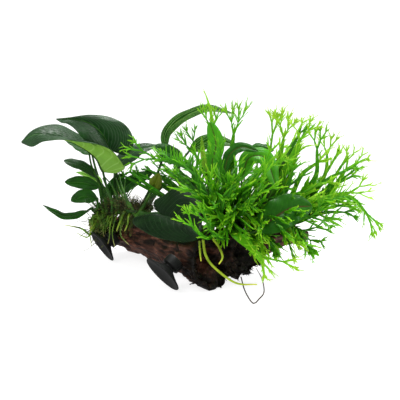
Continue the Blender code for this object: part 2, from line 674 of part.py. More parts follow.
def make_leaf(name, spec, rhizome, finish):
    """One leaf: a stalk from the rhizome, then a blade along the named points."""
    stalk_steps, blade_steps = 3, 6
    blade = [seen(*point) for point in spec["blade"]]
    bends = [seen(*point) for point in spec["stalk"]]
    start = foot_and_start(rhizome, spec, bends[0])
    stalk_path = smooth_path(start + bends + [blade[0]], stalk_steps)
    path = stalk_path + smooth_path(blade, blade_steps)[1:]
    faces = [Vector(face).normalized() for face in spec["faces"]]
    rings = stalk_rings(path[: stalk_steps + 1], faces[0])
    half_width = spec["width"] * MM / 2
    for step, (place, direction) in enumerate(zip(path, tangents(path))):
        share = (step - stalk_steps) / blade_steps
        if share > 0:
            face = blend_vectors(faces, share)
            wide = max(half_width * blade_width(min(share, 0.985)), STALK_RADIUS * 0.6)
            thick = LEAF_THICKNESS / 2 * (1.1 - 0.6 * share)
            rings.append(leaf_ring(place, direction, face, wide, thick, 0, spec["fold"]))
    bm = bmesh.new()
    loft(bm, rings)
    return object_from(bm, name, finish)


def make_railed_leaf(name, spec, rhizome, finish):
    """One leaf whose margins are given as well as its midrib."""
    rails = [[seen(*point) for point in station] for station in spec["rails"]]
    middles = [station[1] for station in rails]
    bends = [seen(*point) for point in spec["stalk"]]
    stalk_path = smooth_path(foot_and_start(rhizome, spec, bends[0]) + bends + [middles[0]], 4)
    face = tangents(middles)[0].cross(rails[1][2] - rails[1][0])
    rings = stalk_rings(stalk_path[:-1], face)
    for step, (station, direction) in enumerate(zip(rails, tangents(middles))):
        thick = LEAF_THICKNESS / 2 * (1.1 - 0.6 * step / len(rails))
        rings.append(railed_ring(*station, direction, thick))
    bm = bmesh.new()
    loft(bm, rings)
    return object_from(bm, name, finish)


# ---- fern fronds: a strap that forks again and again towards its tips ----


def turned(vector, axis, degrees):
    """The vector turned about an axis."""
    return Matrix.Rotation(math.radians(degrees), 3, axis) @ vector


def extrude_to(bm, edge, left, right):
    """Extrudes the end edge of a ribbon to two new places and returns the new edge."""
    first, second = edge
    old = bm.edges.get((first, second))
    made = bmesh.ops.extrude_edge_only(bm, edges=[old])["geom"]
    new = [item for item in made if isinstance(item, bmesh.types.BMVert)]
    across = second.co - first.co
    new.sort(key=lambda vert: (vert.co - first.co).dot(across))
    new[0].co = left
    new[1].co = right
    return new[0], new[1]


def grow_forks(bm, edge, heading, face, length, code, plan):
    """Splits the end edge of a ribbon in two and grows an arm from each half, again and again."""
    chance = random.Random(plan["seed"] * 1009 + code)
    level = code.bit_length()
    _, crotch = bmesh.utils.edge_split(bm.edges.get(edge), edge[0], 0.5)
    depth = CROTCH_DEPTH / math.tan(math.radians(plan["spread"] / 2))
    crotch.co += heading * (edge[1].co - edge[0].co).length * depth
    for child, sign in ((0, 1), (1, -1)):
        child_face = turned(face, heading, chance.uniform(-ARM_ROLL, ARM_ROLL))
        angle = sign * plan["spread"] / 2 * chance.uniform(0.7, 1.3)
        child_heading = turned(heading, child_face, angle)
        side = child_face.cross(child_heading).normalized()
        half = (edge[0], crotch) if sign > 0 else (crotch, edge[1])
        reach = length * chance.uniform(0.75, 1.15)
        end = (half[0].co + half[1].co) / 2 + child_heading * reach
        width = TIP_WIDTH if level == plan["levels"] else ARM_WIDTH - 0.3 * MM * level
        arm = extrude_to(bm, half, end - side * width / 2, end + side * width / 2)
        if level < plan["levels"]:
            grow_forks(
                bm, arm, child_heading, child_face, length * ARM_SHRINK, code * 2 + child, plan
            )


def strap_width(share, width):
    """The strap's width along its length: a thin stalk, the strap, and a waist below the forks."""
    swell = math.sin(math.pi * 0.88 * share**0.8)
    return FROND_STALK_WIDTH + (width - FROND_STALK_WIDTH) * swell


def make_frond(name, spec, rhizome, finish):
    """One fern frond: a ribbon extruded edge by edge, then given its thickness."""
    strap_steps = 4
    bends = [seen(*point) for point in spec["strap"]]
    start = foot_and_start(rhizome, spec, bends[0])
    path = smooth_path(start + bends, strap_steps)
    along = tangents(path)
    width = spec["width"] * MM
    faces = [Vector(face).normalized() for face in spec.get("faces", ((0, -0.8, 0.6),) * 2)]
    bm = bmesh.new()
    edge = None
    for index, (place, heading) in enumerate(zip(path, along)):
        share = index / strap_steps
        face = blend_vectors(faces, share)
        side = face.cross(heading).normalized()
        half = side * strap_width(share, width) / 2
        if edge is None:
            edge = bm.verts.new(place - half), bm.verts.new(place + half)
            bm.edges.new(edge)
        else:
            edge = extrude_to(bm, edge, place - half, place + half)
    plan = {"seed": spec["seed"], "levels": spec.get("levels", 3), "spread": spec["spread"]}
    total = sum(ARM_SHRINK**level for level in range(plan["levels"]))
    grow_forks(bm, edge, heading, face, spec["reach"] * MM / total, 1, plan)
    frond = object_from(bm, name, finish)
    solid = frond.modifiers.new("thickness", "SOLIDIFY")
    solid.thickness = FROND_THICKNESS
    solid.offset = 0
    return frond


# ---- rhizomes, roots and the fork of the wood ----


def roughened(bm, height, scale):
    """Pushes each point of a mesh out or in by smooth noise."""
    bm.normal_update()
    for vert in bm.verts:
        vert.co += vert.normal * noise.noise(vert.co * scale) * height


def make_branch(finish):
    """The fork: a rough tapering limb that meets the log with a small gap."""
    line = [point * MM for point in BRANCH_LINE]
    branch = tube("driftwood_branch", smooth_path(line, 9), *BRANCH_RADII, 4, finish)
    bm = bmesh.new()
    bm.from_mesh(branch.data)
    roughened(bm, BRANCH_LUMPS, 60)
    bm.to_mesh(branch.data)
    bm.free()
    return branch


def make_rhizome(name, rhizome, finish):
    """A knobbly creeping stem."""
    line = [point * MM for point in rhizome["line"]]
    rhizome["path"] = smooth_path(line, 12)
    thin = rhizome["radius"] * RHIZOME_TIP
    return tube(name, rhizome["path"], rhizome["radius"], thin, 2, finish)


def as_helper(obj):
    """Takes an object out of the piece: it only shapes another one."""
    PIECE.objects.unlink(obj)
    CUTTERS.objects.link(obj)
    obj.hide_render = True
    obj.display_type = "WIRE"
    return obj


def make_root_mat(finish):
    """The felt of old roots under the rhizome's far end: a lumpy shape that is joined on."""
    bm = bmesh.new()
    bmesh.ops.create_icosphere(bm, subdivisions=2, radius=1)
    lean = Matrix.Rotation(ROOT_MAT_LEAN, 4, "Z")
    size = Matrix.Diagonal((*ROOT_MAT_SIZE, 1))
    bmesh.ops.transform(bm, matrix=Matrix.Translation(ROOT_MAT_MIDDLE) @ lean @ size, verts=bm.verts)
    roughened(bm, ROOT_MAT_LUMPS, 110)
    return as_helper(object_from(bm, "root_mat", finish))


def make_root(name, spec, steps, finish, start=()):
    """One root through its picture points, thinner at its end."""
    path = smooth_path(list(start) + [seen(*point) for point in spec["line"]], steps)
    thick = spec["thick"] * MM / 2
    return tube(name, path, thick, thick * 0.7, 1, finish)


PIECE, CUTTERS = start_scene()

WOOD = material("driftwood", (0.16, 0.07, 0.04), 0.8)
RUBBER = material("black_rubber", (0.02, 0.02, 0.02), 0.45)
ROOTS = material("roots", (0.20, 0.24, 0.06), 0.6)
RHIZOME = material("rhizome", (0.10, 0.16, 0.04), 0.5)
ANUBIAS = material("anubias_leaf", (0.02, 0.10, 0.02), 0.3)
FERN = material("fern_leaf", (0.10, 0.38, 0.02), 0.4)

log = make_log(WOOD)

cups = []
for cup_name, place in CUPS.items():
    cup_facing = Vector(place["facing"]).normalized()
    cup_middle = Vector(place["middle"]) * MM
    cup_middle.z = standing_height(cup_facing)
    cups.append(make_cup(cup_name, cup_middle, cup_facing, RUBBER))
bpy.context.view_layer.update()
cup_cutters = [cutter_from(cup, GAP) for cup in cups]
for cutter in cup_cutters:
    combine(log, cutter, "DIFFERENCE")
log_cutter = cutter_from(log, 1.6 * GAP)  # the log's folds take up part of the clearance

branch = make_branch(WOOD)
combine(branch, log_cutter, "DIFFERENCE")

anubias_stem = make_rhizome("anubias_rhizome", ANUBIAS_RHIZOME, RHIZOME)
combine(anubias_stem, make_root_mat(ROOTS), "UNION")
for number, root_spec in enumerate(THICK_ROOTS):
    root_start = [blend_vectors(ANUBIAS_RHIZOME["path"], root_spec["foot"])]
    root = make_root(f"thick_root_{number}", root_spec, 6, ROOTS, root_start)
    combine(anubias_stem, as_helper(root), "UNION")
for cutter in [log_cutter] + cup_cutters:
    combine(anubias_stem, cutter, "DIFFERENCE")

fern_stem = make_rhizome("fern_rhizome", FERN_RHIZOME, RHIZOME)
for cutter in (log_cutter, cutter_from(branch, GAP)):
    combine(fern_stem, cutter, "DIFFERENCE")

for root_name, root_spec in HANGING_ROOTS.items():
    make_root(root_name, root_spec, 9, ROOTS)

for leaf_name, leaf_spec in ANUBIAS_LEAVES.items():
    make = make_railed_leaf if "rails" in leaf_spec else make_leaf
    make(leaf_name, leaf_spec, ANUBIAS_RHIZOME, ANUBIAS)
for leaf_name, leaf_spec in FERN_LEAVES.items():
    make_leaf(leaf_name, leaf_spec, FERN_RHIZOME, FERN)
for frond_name, frond_spec in LACE_FRONDS.items():
    make_frond(frond_name, frond_spec, FERN_RHIZOME, FERN)
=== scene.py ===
import math
import random

import bpy
from mathutils import Matrix, Vector, noise
from mathutils.bvhtree import BVHTree


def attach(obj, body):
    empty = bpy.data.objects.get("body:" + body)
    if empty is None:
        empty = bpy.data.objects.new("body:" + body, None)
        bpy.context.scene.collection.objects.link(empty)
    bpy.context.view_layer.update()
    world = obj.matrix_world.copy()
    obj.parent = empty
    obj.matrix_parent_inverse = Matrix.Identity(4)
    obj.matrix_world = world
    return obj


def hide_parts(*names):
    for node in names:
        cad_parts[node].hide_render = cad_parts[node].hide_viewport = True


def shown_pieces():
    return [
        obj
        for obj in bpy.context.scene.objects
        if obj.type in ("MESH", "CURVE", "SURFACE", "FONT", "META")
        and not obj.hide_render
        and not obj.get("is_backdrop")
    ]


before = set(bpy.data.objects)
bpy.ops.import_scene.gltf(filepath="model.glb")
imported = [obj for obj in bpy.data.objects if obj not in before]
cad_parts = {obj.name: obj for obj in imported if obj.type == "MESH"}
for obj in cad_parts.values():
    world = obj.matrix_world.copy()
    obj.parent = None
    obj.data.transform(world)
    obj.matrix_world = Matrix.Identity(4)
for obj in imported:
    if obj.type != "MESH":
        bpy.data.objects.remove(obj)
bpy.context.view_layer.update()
print("frame loaded:", len(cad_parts), "nodes")

mm = 0.001
origin = Vector((-0.9, 7.6, 0)) * mm  # the frame's origin, seen from the middle of the wood

# Places on the plants are (column, row, back): a spot of a 400 px picture, and how many
# millimetres it lies behind the plane through the middle of the wood.
viewpoint = {"middle": 200, "focal": 540, "away": 480 * mm, "height": 126.2 * mm, "dip": math.radians(7)}
eye = Vector((0, -viewpoint["away"], viewpoint["height"]))


def seen(column, row, back):
    right = (column - viewpoint["middle"]) / viewpoint["focal"]
    down = (row - viewpoint["middle"]) / viewpoint["focal"]
    dip = viewpoint["dip"]
    ray = Vector((right, math.cos(dip) - down * math.sin(dip), -math.sin(dip) - down * math.cos(dip)))
    return eye + ray * ((viewpoint["away"] + back * mm) / ray.y) - origin


def curveThrough(points, share):  # Catmull-Rom: share 0 to 1 runs evenly from point to point
    place = min(max(share, 0), 1) * (len(points) - 1)
    index = min(int(place), len(points) - 2)
    t = place - index
    b, c = points[index], points[index + 1]
    a = points[index - 1] if index else b * 2 - c
    d = points[index + 2] if index + 2 < len(points) else c * 2 - b
    return 0.5 * (2 * b + (c - a) * t + (2 * a - 5 * b + 4 * c - d) * t * t + (3 * b - a - 3 * c + d) * t**3)


def smoothPath(points, steps):  # steps + 1 points, evenly spread by length
    count = 12 * (len(points) - 1)
    dense = [curveThrough(points, step / count) for step in range(count + 1)]
    lengths = [0.0]
    for a, b in zip(dense, dense[1:]):
        lengths.append(lengths[-1] + (b - a).length)
    path, at = [], 0
    for step in range(steps + 1):
        goal = lengths[-1] * step / steps
        while at < len(dense) - 2 and lengths[at + 1] < goal:
            at += 1
        path.append(dense[at].lerp(dense[at + 1], (goal - lengths[at]) / (lengths[at + 1] - lengths[at])))
    return path


def tangentsOf(path):
    ends = [path[0]] + path + [path[-1]]
    return [(c - a).normalized() for a, c in zip(ends, ends[2:])]


def blendVectors(vectors, share):
    place = min(max(share, 0.0), 1.0) * (len(vectors) - 1)
    index = min(int(place), len(vectors) - 2)
    return vectors[index].lerp(vectors[index + 1], place - index)


def turned(vector, axis, degrees):
    return Matrix.Rotation(math.radians(degrees), 3, axis) @ vector


def selectOnly(*objects):
    bpy.ops.object.select_all(action="DESELECT")
    for obj in objects:
        obj.select_set(True)
    bpy.context.view_layer.objects.active = objects[0]


def applyModifier(piece, kind, **settings):
    selectOnly(piece)
    modifier = piece.modifiers.new(kind.lower(), kind)
    for key, value in settings.items():
        setattr(modifier, key, value)
    bpy.ops.object.modifier_apply(modifier=modifier.name)


def joinPieces(name, parts):
    selectOnly(*parts)
    bpy.ops.object.join()
    parts[0].name = parts[0].data.name = name
    return parts[0]


def finishPiece(piece, slotName, *nodes):
    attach(piece, "root")
    if nodes:
        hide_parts(*nodes)


# A skin gathers the corners, faces and pattern places of many small tubes or ribbons, and
# becomes one mesh.
def newSkin():
    return {"corners": [], "faces": [], "places": []}


def skinPiece(name, skin, finish):
    mesh = bpy.data.meshes.new(name)
    mesh.from_pydata(skin["corners"], [], skin["faces"])
    layer = mesh.uv_layers.new(name="UVMap")
    flat = [value for loop in mesh.loops for value in skin["places"][loop.vertex_index]]
    layer.data.foreach_set("uv", flat)
    mesh.materials.append(finish)
    mesh.shade_smooth()
    piece = bpy.data.objects.new(name, mesh)
    bpy.context.scene.collection.objects.link(piece)
    return piece


endBulge = 0.6  # how far a tube's closed ends stand out, as a share of the radius there


def addTube(skin, path, radii, sides, flat=1.0):  # the radii are spread evenly over the path's points
    along = tangentsOf(path)
    side = along[0].orthogonal().normalized()
    rings = []
    for index, (place, direction) in enumerate(zip(path, along)):
        side = (side - direction * side.dot(direction)).normalized()
        up = direction.cross(side)
        share = index / (len(path) - 1)
        radius = blendVectors([Vector((r, 0, 0)) for r in radii], share).x
        ring = []
        for corner in range(sides):
            angle = 2 * math.pi * corner / sides
            ring.append(len(skin["corners"]))
            skin["corners"].append(place + (side * math.cos(angle) + up * math.sin(angle) * flat) * radius)
            skin["places"].append((share, abs(2 * corner / sides - 1)))
        rings.append(ring)
    for before, after in zip(rings, rings[1:]):
        for corner in range(sides):
            following = (corner + 1) % sides
            skin["faces"].append((before[corner], before[following], after[following], after[corner]))
    for ring, place, direction, radius, u in (
        (rings[0][::-1], path[0], -along[0], radii[0], 0),
        (rings[-1], path[-1], along[-1], radii[-1], 1),
    ):
        tip = len(skin["corners"])
        skin["corners"].append(place + direction * radius * endBulge)
        skin["places"].append((u, 0.5))
        for corner in range(sides):
            skin["faces"].append((ring[corner], ring[(corner + 1) % sides], tip))


def addNode(tree, kind, inputs=None, **settings):
    made = tree.nodes.new(kind)
    for key, value in settings.items():
        setattr(made, key, value)
    for key, value in (inputs or {}).items():
        if isinstance(value, bpy.types.NodeSocket):
            tree.links.new(value, made.inputs[key])
        else:
            made.inputs[key].default_value = value
    return made


def calc(tree, operation, a, b=0.0, c=0.0):
    return addNode(tree, "ShaderNodeMath", {0: a, 1: b, 2: c}, operation=operation).outputs[0]


def ramp(tree, value, stops):
    made = addNode(tree, "ShaderNodeValToRGB", {"Fac": value})
    elements = made.color_ramp.elements
    while len(elements) < len(stops):
        elements.new(0.5)
    for element, (place, color) in zip(elements, stops):
        element.position = place
        element.color = (*color, 1)
    return made.outputs["Color"]


def mixColors(tree, share, a, b):
    made = addNode(tree, "ShaderNodeMix", data_type="RGBA")
    for index, value in ((0, share), (6, a), (7, b)):
        if isinstance(value, bpy.types.NodeSocket):
            tree.links.new(value, made.inputs[index])
        else:
            made.inputs[index].default_value = value if index == 0 else (*value, 1)
    return made.outputs[2]


def noiseAt(tree, place, scale, detail=4.0, roughness=0.55):
    return addNode(
        tree, "ShaderNodeTexNoise",
        {"Vector": place, "Scale": scale, "Detail": detail, "Roughness": roughness},
    ).outputs["Fac"]


def between(tree, value, low, high, start=0.0, end=1.0):
    return addNode(
        tree, "ShaderNodeMapRange",
        {"Value": value, "From Min": low, "From Max": high, "To Min": start, "To Max": end},
        interpolation_type="SMOOTHSTEP",
    ).outputs[0]


def newFinish(name, sockets):
    finish = bpy.data.materials.new(name)
    finish.use_nodes = True
    tree = finish.node_tree
    shader = tree.nodes["Principled BSDF"]
    for label, value in sockets.items():
        shader.inputs[label].default_value = value
    return finish, tree, shader


def bumped(tree, shader, height, strength, distance):
    bump = addNode(tree, "ShaderNodeBump", {"Height": height, "Strength": strength, "Distance": distance})
    tree.links.new(bump.outputs["Normal"], shader.inputs["Normal"])


# The veins' course is shared by a leaf's finish and its mesh, so that the colour lies in the grooves.
veinCourse = {"bend": 1.3, "ripplesAlong": 17.0, "ripplesAcross": 5.0, "fine": 6.2832 * 3}


def leafFinish(name, values):
    finish, tree, shader = newFinish(name, {
        "Subsurface Weight": values["glow"], "Subsurface Scale": 0.002,
        "Subsurface Radius": (0.4, 1.0, 0.2), "Specular IOR Level": values["shine"],
    })
    coords = addNode(tree, "ShaderNodeTexCoord")
    place = addNode(tree, "ShaderNodeSeparateXYZ", {0: coords.outputs["UV"]})
    along, across = place.outputs["X"], place.outputs["Y"]
    side = calc(tree, "ABSOLUTE", calc(tree, "MULTIPLY_ADD", across, 2.0, -1.0))
    swept = calc(tree, "MULTIPLY", calc(tree, "POWER", side, veinCourse["bend"]), values["sweep"])
    phase = calc(tree, "MULTIPLY", calc(tree, "SUBTRACT", along, swept), values["veins"])
    ripplesAlong = calc(tree, "MULTIPLY", along, veinCourse["ripplesAlong"])
    ripplesAcross = calc(tree, "MULTIPLY", side, veinCourse["ripplesAcross"])
    wobble = calc(tree, "SINE", calc(tree, "ADD", ripplesAlong, ripplesAcross))
    phase = calc(tree, "MULTIPLY_ADD", wobble, values["wobble"], phase)
    wave = calc(tree, "ABSOLUTE", calc(tree, "SUBTRACT", calc(tree, "FRACT", phase), 0.5))
    vein = between(tree, wave, values["veinFrom"], 0.5)
    fine = calc(tree, "SINE", calc(tree, "MULTIPLY", phase, veinCourse["fine"]))
    midrib = between(tree, side, 0.015, values["midribWidth"], 1.0, 0.0)
    mottle = noiseAt(tree, coords.outputs["Object"], 90.0)
    patches = noiseAt(tree, coords.outputs["Object"], 26.0, 2.0)
    color = ramp(tree, mottle, ((0.3, values["dark"]), (0.7, values["light"])))
    color = mixColors(tree, between(tree, patches, 0.35, 0.75, 0.0, 0.7), color, values["patch"])
    # The vein colour; on the top and far leaves it is a pale silvery tint, a painted sheen along the veins.
    color = mixColors(tree, calc(tree, "MULTIPLY", vein, values["veinShow"]), color, values["vein"])
    color = mixColors(tree, midrib, color, values["midrib"])
    edge = between(tree, side, 0.955, 0.995, 0.0, values["edgeShow"])
    color = mixColors(tree, edge, color, values["midrib"])
    tree.links.new(color, shader.inputs["Base Color"])
    rough = between(tree, patches, 0.3, 0.7, values["gloss"] - 0.06, values["gloss"] + 0.1)
    tree.links.new(rough, shader.inputs["Roughness"])
    height = calc(tree, "MULTIPLY_ADD", fine, 0.25, calc(tree, "MULTIPLY_ADD", mottle, 0.5, vein))
    bumped(tree, shader, height, values["bump"], 0.0003)
    return finish


anubiasLook = {
    "dark": (0.004, 0.034, 0.001), "light": (0.012, 0.095, 0.003), "patch": (0.008, 0.065, 0.002),
    "vein": (0.022, 0.110, 0.010), "veinShow": 0.5, "midrib": (0.045, 0.150, 0.020),
    "midribWidth": 0.05, "edgeShow": 0.5, "sweep": 0.8, "veins": 10.0, "wobble": 0.1, "veinFrom": 0.36,
    "gloss": 0.3, "shine": 0.25, "glow": 0.03, "bump": 0.35,
}
topLeafLook = anubiasLook | {  # the two large leaves at the top: a painted silvery sheen along the veins
    "dark": (0.004, 0.030, 0.004), "light": (0.010, 0.068, 0.008), "patch": (0.007, 0.048, 0.006),
    "vein": (0.150, 0.210, 0.145), "veinShow": 0.42, "sweep": 1.3, "veins": 8.5, "wobble": 0.06,
    "shine": 0.5,
}
# The far-left leaf: rougher, and its painted silvery sheen along the veins shows more strongly.
farLeafLook = topLeafLook | {"gloss": 0.42, "shine": 0.35, "veinShow": 0.65}
frontLeafLook = anubiasLook | {
    "dark": (0.002, 0.010, 0.002), "light": (0.005, 0.024, 0.004), "patch": (0.004, 0.017, 0.003),
    "vein": (0.020, 0.050, 0.016), "midrib": (0.026, 0.066, 0.022), "veinShow": 0.3, "sweep": 0.7,
    "shine": 0.22,
}
anubiasUnderLook = anubiasLook | {
    "dark": (0.150, 0.320, 0.030), "light": (0.230, 0.450, 0.060), "patch": (0.170, 0.370, 0.042),
    "vein": (0.330, 0.560, 0.130), "midrib": (0.260, 0.460, 0.060), "gloss": 0.45, "glow": 0.1, "sweep": 0.3,
}
stripedLeafLook = anubiasLook | {  # its pale veins run nearly along the leaf
    "dark": (0.004, 0.040, 0.001), "light": (0.018, 0.110, 0.003), "patch": (0.012, 0.078, 0.002),
    "vein": (0.300, 0.500, 0.160), "veinShow": 0.95, "midrib": (0.160, 0.300, 0.050), "glow": 0.1,
    "shine": 0.15, "sweep": 2.0, "veins": 2.0, "veinFrom": 0.4,
}
youngLeafLook = anubiasLook | {
    "dark": (0.070, 0.105, 0.002), "light": (0.125, 0.170, 0.005), "patch": (0.092, 0.134, 0.003),
    "vein": (0.110, 0.160, 0.012), "midrib": (0.130, 0.170, 0.020), "glow": 0.12,
}
fernLeafLook = {
    "dark": (0.028, 0.200, 0.001), "light": (0.085, 0.400, 0.004), "patch": (0.050, 0.290, 0.002),
    "vein": (0.020, 0.140, 0.001), "veinShow": 0.5, "midrib": (0.070, 0.050, 0.012),
    "midribWidth": 0.09, "edgeShow": 0.25, "sweep": 0.22, "veins": 11.0, "wobble": 0.2, "veinFrom": 0.36,
    "gloss": 0.36, "shine": 0.2, "glow": 0.12, "bump": 0.4,
}
# A darker copy of the fern leaf finish for the leaves in the fern's shade: painted shade.
shadedFernLeafLook = fernLeafLook | {
    "dark": (0.006, 0.062, 0.001), "light": (0.020, 0.140, 0.001), "patch": (0.012, 0.098, 0.001),
    "glow": 0.05, "shine": 0.15,
}
oldFernLeafLook = fernLeafLook | {  # yellowing
    "dark": (0.090, 0.240, 0.006), "light": (0.220, 0.420, 0.020), "patch": (0.150, 0.330, 0.010),
    "vein": (0.060, 0.200, 0.004),
}
anubiasFinish = leafFinish("anubiasLeaf", anubiasLook)
topLeafFinish = leafFinish("topAnubiasLeaf", topLeafLook)
farLeafFinish = leafFinish("farAnubiasLeaf", farLeafLook)
frontLeafFinish = leafFinish("frontAnubiasLeaf", frontLeafLook)
anubiasUnderFinish = leafFinish("anubiasUnderside", anubiasUnderLook)
stripedLeafFinish = leafFinish("stripedAnubiasLeaf", stripedLeafLook)
youngLeafFinish = leafFinish("youngAnubiasLeaf", youngLeafLook)
fernLeafFinish = leafFinish("fernLeaf", fernLeafLook)
shadedFernLeafFinish = leafFinish("darkFernLeaf", shadedFernLeafLook)
oldFernLeafFinish = leafFinish("oldFernLeaf", oldFernLeafLook)


def frondFinish(name, values):  # along the frond: dark stalk, green strap, yellow-green tips
    finish, tree, shader = newFinish(name, {
        "Subsurface Weight": 0.15, "Subsurface Scale": 0.0015, "Subsurface Radius": (0.5, 1.0, 0.15),
        "Specular IOR Level": 0.15,
    })
    coords = addNode(tree, "ShaderNodeTexCoord")
    place = addNode(tree, "ShaderNodeSeparateXYZ", {0: coords.outputs["UV"]})
    side = calc(tree, "ABSOLUTE", calc(tree, "MULTIPLY_ADD", place.outputs["Y"], 2.0, -1.0))
    blotch = noiseAt(tree, coords.outputs["Object"], 70.0)
    wander = calc(tree, "MULTIPLY_ADD", blotch, 0.24, calc(tree, "ADD", place.outputs["X"], -0.12))
    color = ramp(tree, wander, (
        (0.0, values["stalk"]), (0.16, values["stalk"]), (0.32, values["deep"]),
        (0.62, values["middle"]), (0.86, values["bright"]), (1.0, values["tip"]),
    ))
    speckle = noiseAt(tree, coords.outputs["Object"], 420.0, 2.0)
    color = mixColors(tree, between(tree, speckle, 0.5, 0.75, 0.0, 0.35), color, values["deep"])
    rib = calc(tree, "MULTIPLY", between(tree, side, 0.05, 0.3, 1.0, 0.0), 0.55)
    color = mixColors(tree, rib, color, values["rib"])
    tree.links.new(color, shader.inputs["Base Color"])
    tree.links.new(between(tree, speckle, 0.3, 0.7, 0.3, 0.48), shader.inputs["Roughness"])
    bumped(tree, shader, speckle, 0.3, 0.0002)
    return finish


frondLook = {
    "stalk": (0.014, 0.026, 0.003), "deep": (0.026, 0.170, 0.001), "middle": (0.075, 0.350, 0.003),
    "bright": (0.160, 0.500, 0.007), "tip": (0.300, 0.620, 0.020), "rib": (0.030, 0.160, 0.001),
}
# A darker copy of the frond finish for fronds deep in the mass: painted shade.
shadedFrondLook = frondLook | {
    "deep": (0.012, 0.085, 0.001), "middle": (0.028, 0.180, 0.001), "bright": (0.070, 0.320, 0.003),
    "tip": (0.170, 0.480, 0.010),
}
# A yellower and lighter copy of the frond finish for the outer fronds: yellow-green in tone, and lighter as
# painted light.
litYellowFrondLook = frondLook | {
    "deep": (0.060, 0.280, 0.002), "middle": (0.160, 0.480, 0.006), "bright": (0.310, 0.650, 0.020),
    "tip": (0.480, 0.780, 0.060), "rib": (0.080, 0.300, 0.003),
}
shootLook = litYellowFrondLook | {  # the newest shoot at the top
    "deep": (0.120, 0.380, 0.006), "middle": (0.240, 0.540, 0.020), "bright": (0.330, 0.640, 0.040),
    "tip": (0.420, 0.700, 0.070), "rib": (0.200, 0.460, 0.015),
}
# Tones of the fronds: deep is the copy with painted shade, pale the yellower copy with painted light.
frondFinishes = {
    "mid": frondFinish("frondGreen", frondLook),
    "deep": frondFinish("frondDeepGreen", shadedFrondLook),
    "pale": frondFinish("frondYellowGreen", litYellowFrondLook),
    "shoot": frondFinish("frondShoot", shootLook),
}


def stemFinish(name, values):  # roots, stalks and creeping stems
    finish, tree, shader = newFinish(name, {
        "Subsurface Weight": 0.05, "Subsurface Scale": 0.001, "Specular IOR Level": 0.25,
    })
    coords = addNode(tree, "ShaderNodeTexCoord")
    along = addNode(tree, "ShaderNodeSeparateXYZ", {0: coords.outputs["UV"]}).outputs["X"]
    blotch = noiseAt(tree, coords.outputs["Object"], values["blotch"])
    grain = noiseAt(tree, coords.outputs["Object"], 700.0, 3.0)
    color = ramp(tree, blotch, ((0.35, values["dark"]), (0.62, values["light"])))
    color = mixColors(tree, between(tree, along, 0.75, 1.0, 0.0, values["endShow"]), color, values["end"])
    tree.links.new(color, shader.inputs["Base Color"])
    rough = between(tree, blotch, 0.3, 0.7, values["gloss"], values["gloss"] + 0.15)
    tree.links.new(rough, shader.inputs["Roughness"])
    bumped(tree, shader, calc(tree, "ADD", grain, blotch), 0.5, 0.0004)
    return finish


stalkFinish = stemFinish("leafStalk", {
    "dark": (0.008, 0.036, 0.005), "light": (0.027, 0.098, 0.009), "blotch": 60.0,
    "end": (0.020, 0.070, 0.010), "endShow": 0.5, "gloss": 0.35,
})
crownFinish = stemFinish("stalkBase", {
    "dark": (0.014, 0.060, 0.005), "light": (0.050, 0.150, 0.010), "blotch": 90.0,
    "end": (0.014, 0.060, 0.006), "endShow": 0.9, "gloss": 0.3,
})
rootFinish = stemFinish("greenRoot", {
    "dark": (0.035, 0.100, 0.005), "light": (0.190, 0.320, 0.014), "blotch": 90.0,
    "end": (0.330, 0.420, 0.055), "endShow": 0.9, "gloss": 0.4,
})
feederRootFinish = stemFinish("feederRoot", {
    "dark": (0.016, 0.060, 0.004), "light": (0.120, 0.240, 0.016), "blotch": 120.0,
    "end": (0.560, 0.580, 0.210), "endShow": 0.95, "gloss": 0.45,
})
hairRootFinish = stemFinish("fineRoot", {
    "dark": (0.010, 0.018, 0.003), "light": (0.045, 0.080, 0.008), "blotch": 140.0,
    "end": (0.240, 0.280, 0.070), "endShow": 0.8, "gloss": 0.55,
})
hangingRootFinish = stemFinish("hangingRoot", {
    "dark": (0.110, 0.190, 0.006), "light": (0.330, 0.450, 0.020), "blotch": 70.0,
    "end": (0.680, 0.720, 0.060), "endShow": 0.95, "gloss": 0.4,
})
brownRootFinish = stemFinish("brownRoot", {
    "dark": (0.016, 0.007, 0.004), "light": (0.070, 0.030, 0.016), "blotch": 140.0,
    "end": (0.120, 0.085, 0.030), "endShow": 0.7, "gloss": 0.55,
})
tangleFinish = stemFinish("tangledRoot", {
    "dark": (0.008, 0.008, 0.003), "light": (0.046, 0.042, 0.012), "blotch": 140.0,
    "end": (0.150, 0.150, 0.040), "endShow": 0.8, "gloss": 0.55,
})
rhizomeFinish = stemFinish("creepingStem", {
    "dark": (0.018, 0.040, 0.008), "light": (0.070, 0.120, 0.020), "blotch": 120.0,
    "end": (0.090, 0.160, 0.030), "endShow": 0.6, "gloss": 0.45,
})
feltFinish = stemFinish("rootFelt", {
    "dark": (0.004, 0.003, 0.002), "light": (0.022, 0.020, 0.007), "blotch": 160.0,
    "end": (0.030, 0.030, 0.012), "endShow": 0.3, "gloss": 0.75,
})


